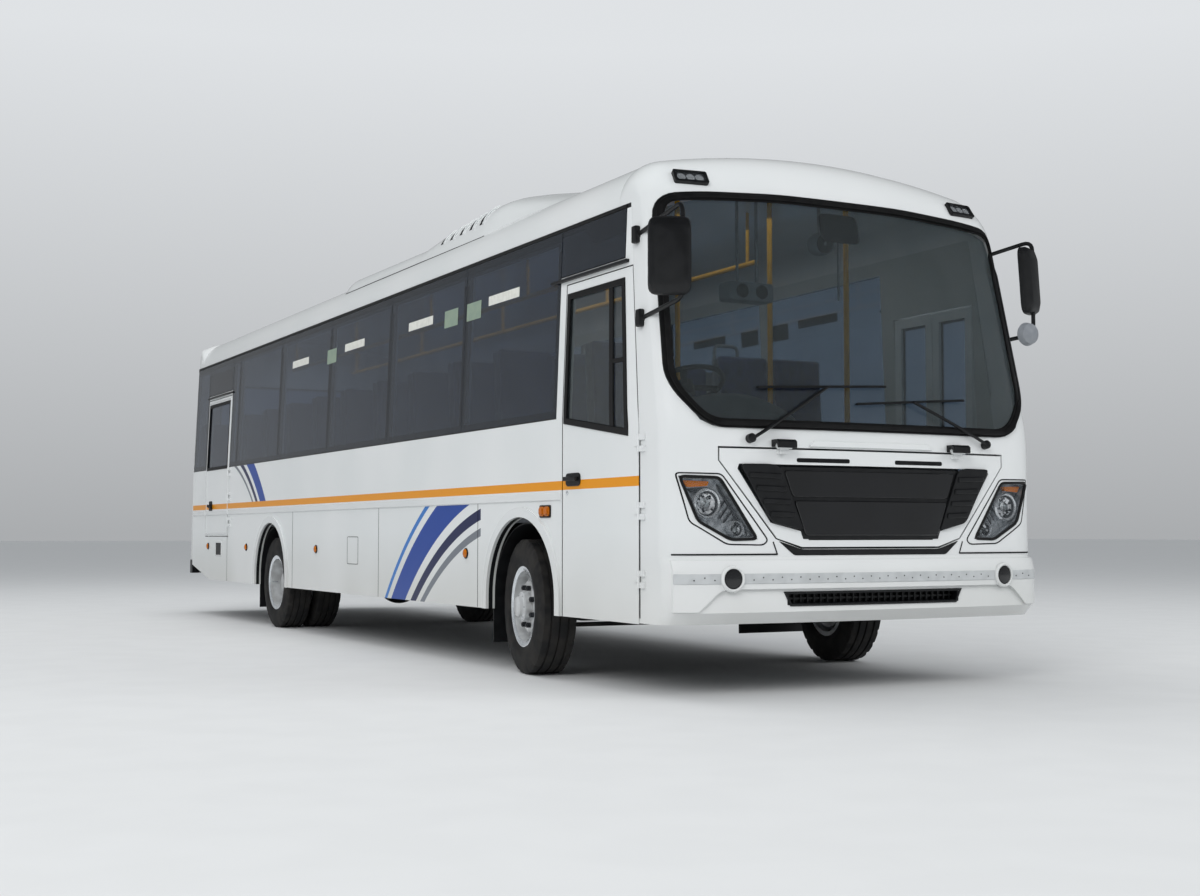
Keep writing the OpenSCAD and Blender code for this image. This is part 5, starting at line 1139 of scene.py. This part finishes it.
for tag, body, _ in WHEELS:
    front = tag.startswith("front")
    node = ("tyre_" if front else "tyres_") + tag
    joint = joints["roll_" + tag]
    form = bmesh.new()
    axle = Vector(joint["axis"])
    for offset in (0,) if front else (-TWIN_OFF, TWIN_OFF):
        tyre(form, Vector(joint["pos_m"]) + axle * offset, axle)
    make(node + "_tread", form, tyre_rubber, body, stands_for=node)


# Wheel fittings: nuts round the hub, its bolted cap, dark plates behind the hand holes as painted shade seen
# through them, rim edge with a valve
FRONT_HUB = [(0.0, 0.110), (0.078, 0.110), (0.078, 0.116), (0.064, 0.120), (0.060, 0.140), (0.050, 0.147),
             (0.0, 0.148)]
REAR_HUB = [(0.0, 0.148), (0.110, 0.148), (0.110, 0.154), (0.090, 0.158), (0.082, 0.172), (0.066, 0.178),
            (0.0, 0.179)]
for tag, body, side in WHEELS:
    joint = joints["roll_" + tag]
    axle = Vector(joint["axis"]) * side
    centre = Vector(joint["pos_m"])
    front = tag.startswith("front")
    land, ring, cap = (0.072, 0.118, FRONT_HUB) if front else (0.012, 0.136, REAR_HUB)
    up = Vector((0, 0, 1))
    ahead = axle.cross(up)
    spots = circle(centre + axle * (land + 0.011), ahead, up, ring, 8, 0.5)
    fasteners("wheel_nuts_" + tag, [(spot, axle) for spot in spots], lamp_dark, body,
              6, 0.017, 0.024)
    cap_r, cap_out = cap[2]
    spots = circle(centre + axle * (cap_out + 0.002), ahead, up, cap_r - 0.007, 6)
    fasteners("hub_bolts_" + tag, [(spot, axle) for spot in spots], chrome, body,
              6, 0.005, 0.006)
    form = bmesh.new()
    turned(form, cap[::-1], centre, axle, 40)
    make("hub_cap_" + tag, form, wheel_silver, body)
    # Dark ring behind the disc: painted shade in the hand holes
    form = bmesh.new()
    inner, outer, deep = (0.092, 0.206, 0.001) if front else (0.125, 0.190, -0.068)
    turned(form, oblong(inner, deep, outer, deep + 0.004), centre, axle, 48, True)
    make("hand_hole_shade_plate_" + tag, form, chassis_paint, body)
    form = bmesh.new()
    out = 0.0 if front else TWIN_OFF
    lip = [(0.2395, 0.084), (0.2440, 0.100), (0.2400, 0.1045), (0.2230, 0.1030), (0.2090, 0.0985),
           (0.2090, 0.0960)]
    turned(form, [(radius, height + out) for radius, height in lip], centre, axle, 64, True)
    start = centre + ahead * 0.200 + axle * (out + 0.030)
    pipe(form, [start, start + axle * 0.030, start + axle * 0.052 + ahead * 0.004], 0.005, 8)
    make("rim_flange_" + tag, form, chrome, body)

# Seats: padded places in pairs, their frames and hand hoops

SEAT_PITCH, SEAT_W, SEAT_AISLE = 0.760, 0.430, 0.280
CUSHION_L, CUSHION_LOW, CUSHION_TOP, BACK_LOW, BACK_TOP = 0.440, 1.300, 1.412, 1.400, 2.030
DRIVER_Y, DRIVER_X, BENCH_X = -0.620, 0.640, -7.690
pairs = [(AXLE + 0.300 - SEAT_PITCH * i, LEFT) for i in range(11)]
pairs += [(AXLE - 0.040 - SEAT_PITCH * i, RIGHT) for i in range(9)] + [(AXLE + BENCH_X, RIGHT)]
places = [(x, side * (SEAT_AISLE + SEAT_W * (k + 0.5))) for x, side in pairs for k in (0, 1)]
places.append((AXLE + DRIVER_X, DRIVER_Y))
# A pad's cloth run: its pressure and its steps
PAD_PRESSURE, PAD_STEPS = 4, 20


def padded_mesh(name, size, swell, voxel, faces):
    """A pad about the origin, blown up from a smaller block by a short cloth run, then thinned."""
    form = bmesh.new()
    block(form, [-s / 2 + swell for s in size], [s / 2 - swell for s in size])
    bmesh.ops.bevel(form, geom=form.edges[:], offset=min(size) * 0.22, segments=3, affect="EDGES",
                    profile=0.5)
    pad = placed(name, meshed(name, form))
    cells = pad.modifiers.new("cells", "REMESH")
    cells.mode = "VOXEL"
    cells.voxel_size = voxel
    pad.data = settled(pad)
    pad.modifiers.clear()
    before = [v.co.copy() for v in pad.data.vertices]
    cloth = pad.modifiers.new("filling", "CLOTH")
    cloth.settings.use_pressure = True
    cloth.settings.uniform_pressure_force = PAD_PRESSURE
    cloth.settings.effector_weights.gravity = 0
    for step in range(1, PAD_STEPS + 1):
        scene.frame_set(step)
    blown = settled(pad)
    pad.modifiers.clear()
    for vertex, was in zip(blown.vertices, before):
        way = vertex.co - was
        vertex.co = was + way * min(1, swell / max(way.length, 1e-9))
    pad.data = blown
    scene.frame_set(1)
    soft = pad.modifiers.new("soft", "SMOOTH")
    soft.iterations = 4
    thin = pad.modifiers.new("thin", "DECIMATE")
    thin.ratio = min(1, faces / (2 * len(pad.data.polygons)))
    result = settled(pad)
    bpy.data.objects.remove(pad)
    return result


def repeated(name, template, spots, bend):
    """One mesh of a template at many spots, each point moved by bend."""
    points, faces = [], []
    for spot in spots:
        first = len(points)
        points += [Vector(spot) + bend(v.co) for v in template.vertices]
        faces += [[first + i for i in p.vertices] for p in template.polygons]
    mesh = bpy.data.meshes.new(name)
    mesh.from_pydata(points, [], faces)
    return mesh


PAD_W, PAD_CELL, PAD_FACES = SEAT_W - 0.012, 0.012, 1500
cushion = padded_mesh("cushion", (CUSHION_L, PAD_W, CUSHION_TOP - CUSHION_LOW), 0.016, PAD_CELL, PAD_FACES)
back_pad = padded_mesh("back_pad", (0.086, PAD_W, BACK_TOP - BACK_LOW), 0.014, PAD_CELL, PAD_FACES)
BACK_LEAN = 0.052 / (BACK_TOP - BACK_LOW)
spots = [(x - CUSHION_L / 2, y, (CUSHION_LOW + CUSHION_TOP) / 2) for x, y in places]
mesh = repeated("seat_cushions", cushion, spots, lambda p: p)
keep("seat_cushions", mesh, seat_cloth, stands_for="seat_bases")
spots = [(x - CUSHION_L - 0.062, y, (BACK_LOW + BACK_TOP) / 2) for x, y in places]
mesh = repeated("seat_back_pads", back_pad, spots, lambda p: p - Vector((BACK_LEAN * p.z, 0, 0)))
keep("seat_back_pads", mesh, seat_cloth, stands_for="seat_backs")
frames, hoops, legs = forms(3)
FLOOR_TOP = 0.960
for x, side in pairs + [(AXLE + DRIVER_X, 0)]:
    y0, y1 = DRIVER_Y - SEAT_W / 2, DRIVER_Y + SEAT_W / 2
    if side:
        y0, y1 = sorted((side * SEAT_AISLE, side * (SEAT_AISLE + 2 * SEAT_W)))
    middle = (y0 + y1) / 2
    block(frames, (x - CUSHION_L + 0.02, y0 + 0.02, CUSHION_LOW - 0.034),
          (x - 0.03, y1 - 0.02, CUSHION_LOW + 0.012))
    block(legs, (x - 0.330, middle - 0.045, FLOOR_TOP + 0.012),
          (x - 0.110, middle + 0.045, CUSHION_LOW - 0.030))
    block(legs, (x - 0.370, middle - 0.090, FLOOR_TOP), (x - 0.070, middle + 0.090, FLOOR_TOP + 0.014))
    low, top = x - CUSHION_L - 0.088, x - CUSHION_L - 0.150
    shell = [(low, 1.300), (low + 0.012, 1.300), (top + 0.018, 1.990), (top + 0.004, 1.990)]
    bridge(frames, [[Vector((px, y, pz)) for px, pz in shell] for y in (y0 + 0.015, y1 - 0.015)])
    if side:
        aisle = side * (SEAT_AISLE + 0.030)
        reach = side * 0.180
        rise = [(top + 0.020, aisle, 1.960), (top + 0.016, aisle, 2.075), (top + 0.016, aisle + reach, 2.075),
                (top + 0.020, aisle + reach, 1.960)]
        pipe(hoops, bent(rise, 0.045), 0.012, 8)
make("seat_shells", frames, hoop_grey, bevel=0.004)
make("seat_legs", legs, galvanised, bevel=0.004)
make("seat_hoops", hoops, hoop_grey)

# Cab: rounded dash hood, dials, screen visor
DASH_TOP, HOOD_HALF = 1.352, 0.38
form = bmesh.new()
rings = []
for x, rise in ((1.215, 0.205), (1.300, 0.240), (1.400, 0.235), (1.480, 0.200), (1.545, 0.130)):
    arc = [math.pi * k / 16 for k in range(17)]
    rings.append([Vector((AXLE + x, DRIVER_Y - HOOD_HALF * math.cos(a), DASH_TOP + rise * math.sin(a) ** 0.8))
                  for a in arc])
bridge(form, rings)
make("dash_hood", form, trim_plastic)
form = bmesh.new()
for y, radius in ((-0.74, 0.055), (-0.62, 0.050), (-0.50, 0.055)):
    dial = scaled(radius, ((0, 0.0), (1, 0.0), (1, 0.012), (0.88, 0.014), (0.86, 0.006), (0, 0.004)))
    turned(form, dial, (AXLE + 1.216, y, 1.452), (-1, 0, 0.35), 32)
make("dash_dials", form, black_plastic)
form = bmesh.new()
sheet(form, rounded(oblong(-0.08, 2.445, 0.18, 2.610), 0.04), SCREEN, -0.105, -0.095, 0.1)
make("screen_visor", form, black_plastic, bevel=0.003)

# Fan, speaker box and hanging rods behind the screen
fan, poles, grilles = forms(3)
at, blown_to = SCREEN(-0.02, 2.450, -0.200), (1, 0, -0.1)
drum = [(0, -0.055), (0.040, -0.055), (0.062, -0.040), (0.066, 0.030), (0.058, 0.045), (0, 0.048)]
turned(fan, drum, at, blown_to, 28)
pipe(poles, [at, at + Vector((-0.02, 0, 0.300))], 0.010, 10)
hook = SCREEN(0.10, 2.560, -0.170)
pipe(poles, [hook, hook - Vector((0, 0, 0.420))], 0.007, 10)
turned(grilles, [(0.012, 0.045), (0.012, 0.052), (0.054, 0.052), (0.054, 0.045)], at, blown_to, 28, True)
box_at = Vector((AXLE + 1.050, -0.300, 2.200))
case = rounded(oblong(-0.155, -0.055, 0.155, 0.055), 0.025)
bridge(fan, [[box_at + Vector((dx, y * k, z * k)) for y, z in case]
             for dx, k in ((-0.06, 0.94), (-0.05, 1.0), (0.04, 1.0), (0.055, 0.93))])
for y in (-0.065, 0.065):
    turned(grilles, [(0, 0.052), (0.038, 0.052), (0.040, 0.060), (0.030, 0.062), (0, 0.057)],
           box_at + Vector((0, y, 0)), TO_FRONT, 24)
    pipe(poles, [box_at + Vector((0, y, 0.05)), box_at + Vector((0, y, 0.690))], 0.009, 10)
make("cab_fan_and_speaker", fan, hoop_grey, bevel=0.003)
make("cab_hanging_rods", poles, galvanised)
make("cab_fan_grilles", grilles, black_plastic)

# Stage, light and camera

form = bmesh.new()
bmesh.ops.create_grid(form, x_segments=2, y_segments=2, size=180)
studio_floor = placed("studio_floor", meshed("studio_floor", form))
# Pale studio floor: matt paint, a little uneven
studio_floor.data.materials.append(finish("studio_floor_paint", "#dcdddd", "#dadbdb", 350, 0.85, 60, 0.05))

world = bpy.data.worlds.new("studio")
world.use_nodes = True
tree = world.node_tree
tree.nodes.clear()
rays = add(tree, "ShaderNodeLightPath").outputs
seen = worked(tree, "MAXIMUM", {0: rays["Is Camera Ray"], 1: rays["Is Transmission Ray"]})
lit = add(tree, "ShaderNodeBackground", {"Color": linear("#eef2f6"), "Strength": 0.62})
around = add(tree, "ShaderNodeTexCoord").outputs["Generated"]
height = add(tree, "ShaderNodeSeparateXYZ", {}, {0: around}).outputs["Z"]
fade = ramp(tree, height, 0.02, 0.6, 0.45, 0.10)
rise = ramp(tree, height, 0.0, 0.3, 0.50, 0.92)
shown = add(tree, "ShaderNodeBackground", {"Color": linear("#e8ebee")}, {"Strength": rise})
mirrored = add(tree, "ShaderNodeBackground", {"Color": linear("#e8ebee")}, {"Strength": fade})
skies = add(tree, "ShaderNodeMixShader", {}, {0: seen, 1: lit.outputs[0], 2: shown.outputs[0]})
skies = add(tree, "ShaderNodeMixShader", {},
            {0: rays["Is Glossy Ray"], 1: skies.outputs[0], 2: mirrored.outputs[0]})
tree.links.new(skies.outputs[0], add(tree, "ShaderNodeOutputWorld").inputs["Surface"])
scene.world = world

for name, place, aim, size, depth, power in (
        ("key_light", (15, -13, 11), (1, -1, 1.2), 9, 9, 1450),
        ("fill_light", (14, 10, 9), (1, 0, 1.5), 9, 9, 650),
        ("top_light", (-3, -3, 13), (-1, 0, 1.5), 12, 12, 800),
        ("ceiling_light", (-0.2, 0, 2.78), (-0.2, 0.001, 1), 9, 0.7, 20)):
    lamp = bpy.data.lights.new(name, "AREA")
    lamp.size = size
    lamp.shape = "RECTANGLE"
    lamp.size_y = depth
    lamp.energy = power
    holder = placed(name, lamp)
    holder.location = place
    holder.rotation_euler = (Vector(aim) - Vector(place)).to_track_quat("-Z", "Y").to_euler()
    holder.visible_camera = False
    holder.visible_glossy = False
    holder.visible_transmission = False

camera = bpy.data.cameras.new("photo_camera")
camera.sensor_width = 36
camera.lens = 46.8
camera.clip_end = 400
eye = placed("photo_camera", camera)
eye.location = (AXLE + 8.447, -5.150, 0.832)
pitch = math.radians(3.155)
heading = Vector((-0.884, 0.467, 0)).normalized() * math.cos(pitch) + Vector((0, 0, math.sin(pitch)))
eye.rotation_euler = heading.to_track_quat("-Z", "Y").to_euler()
scene.camera = eye
scene.view_settings.view_transform = "Standard"
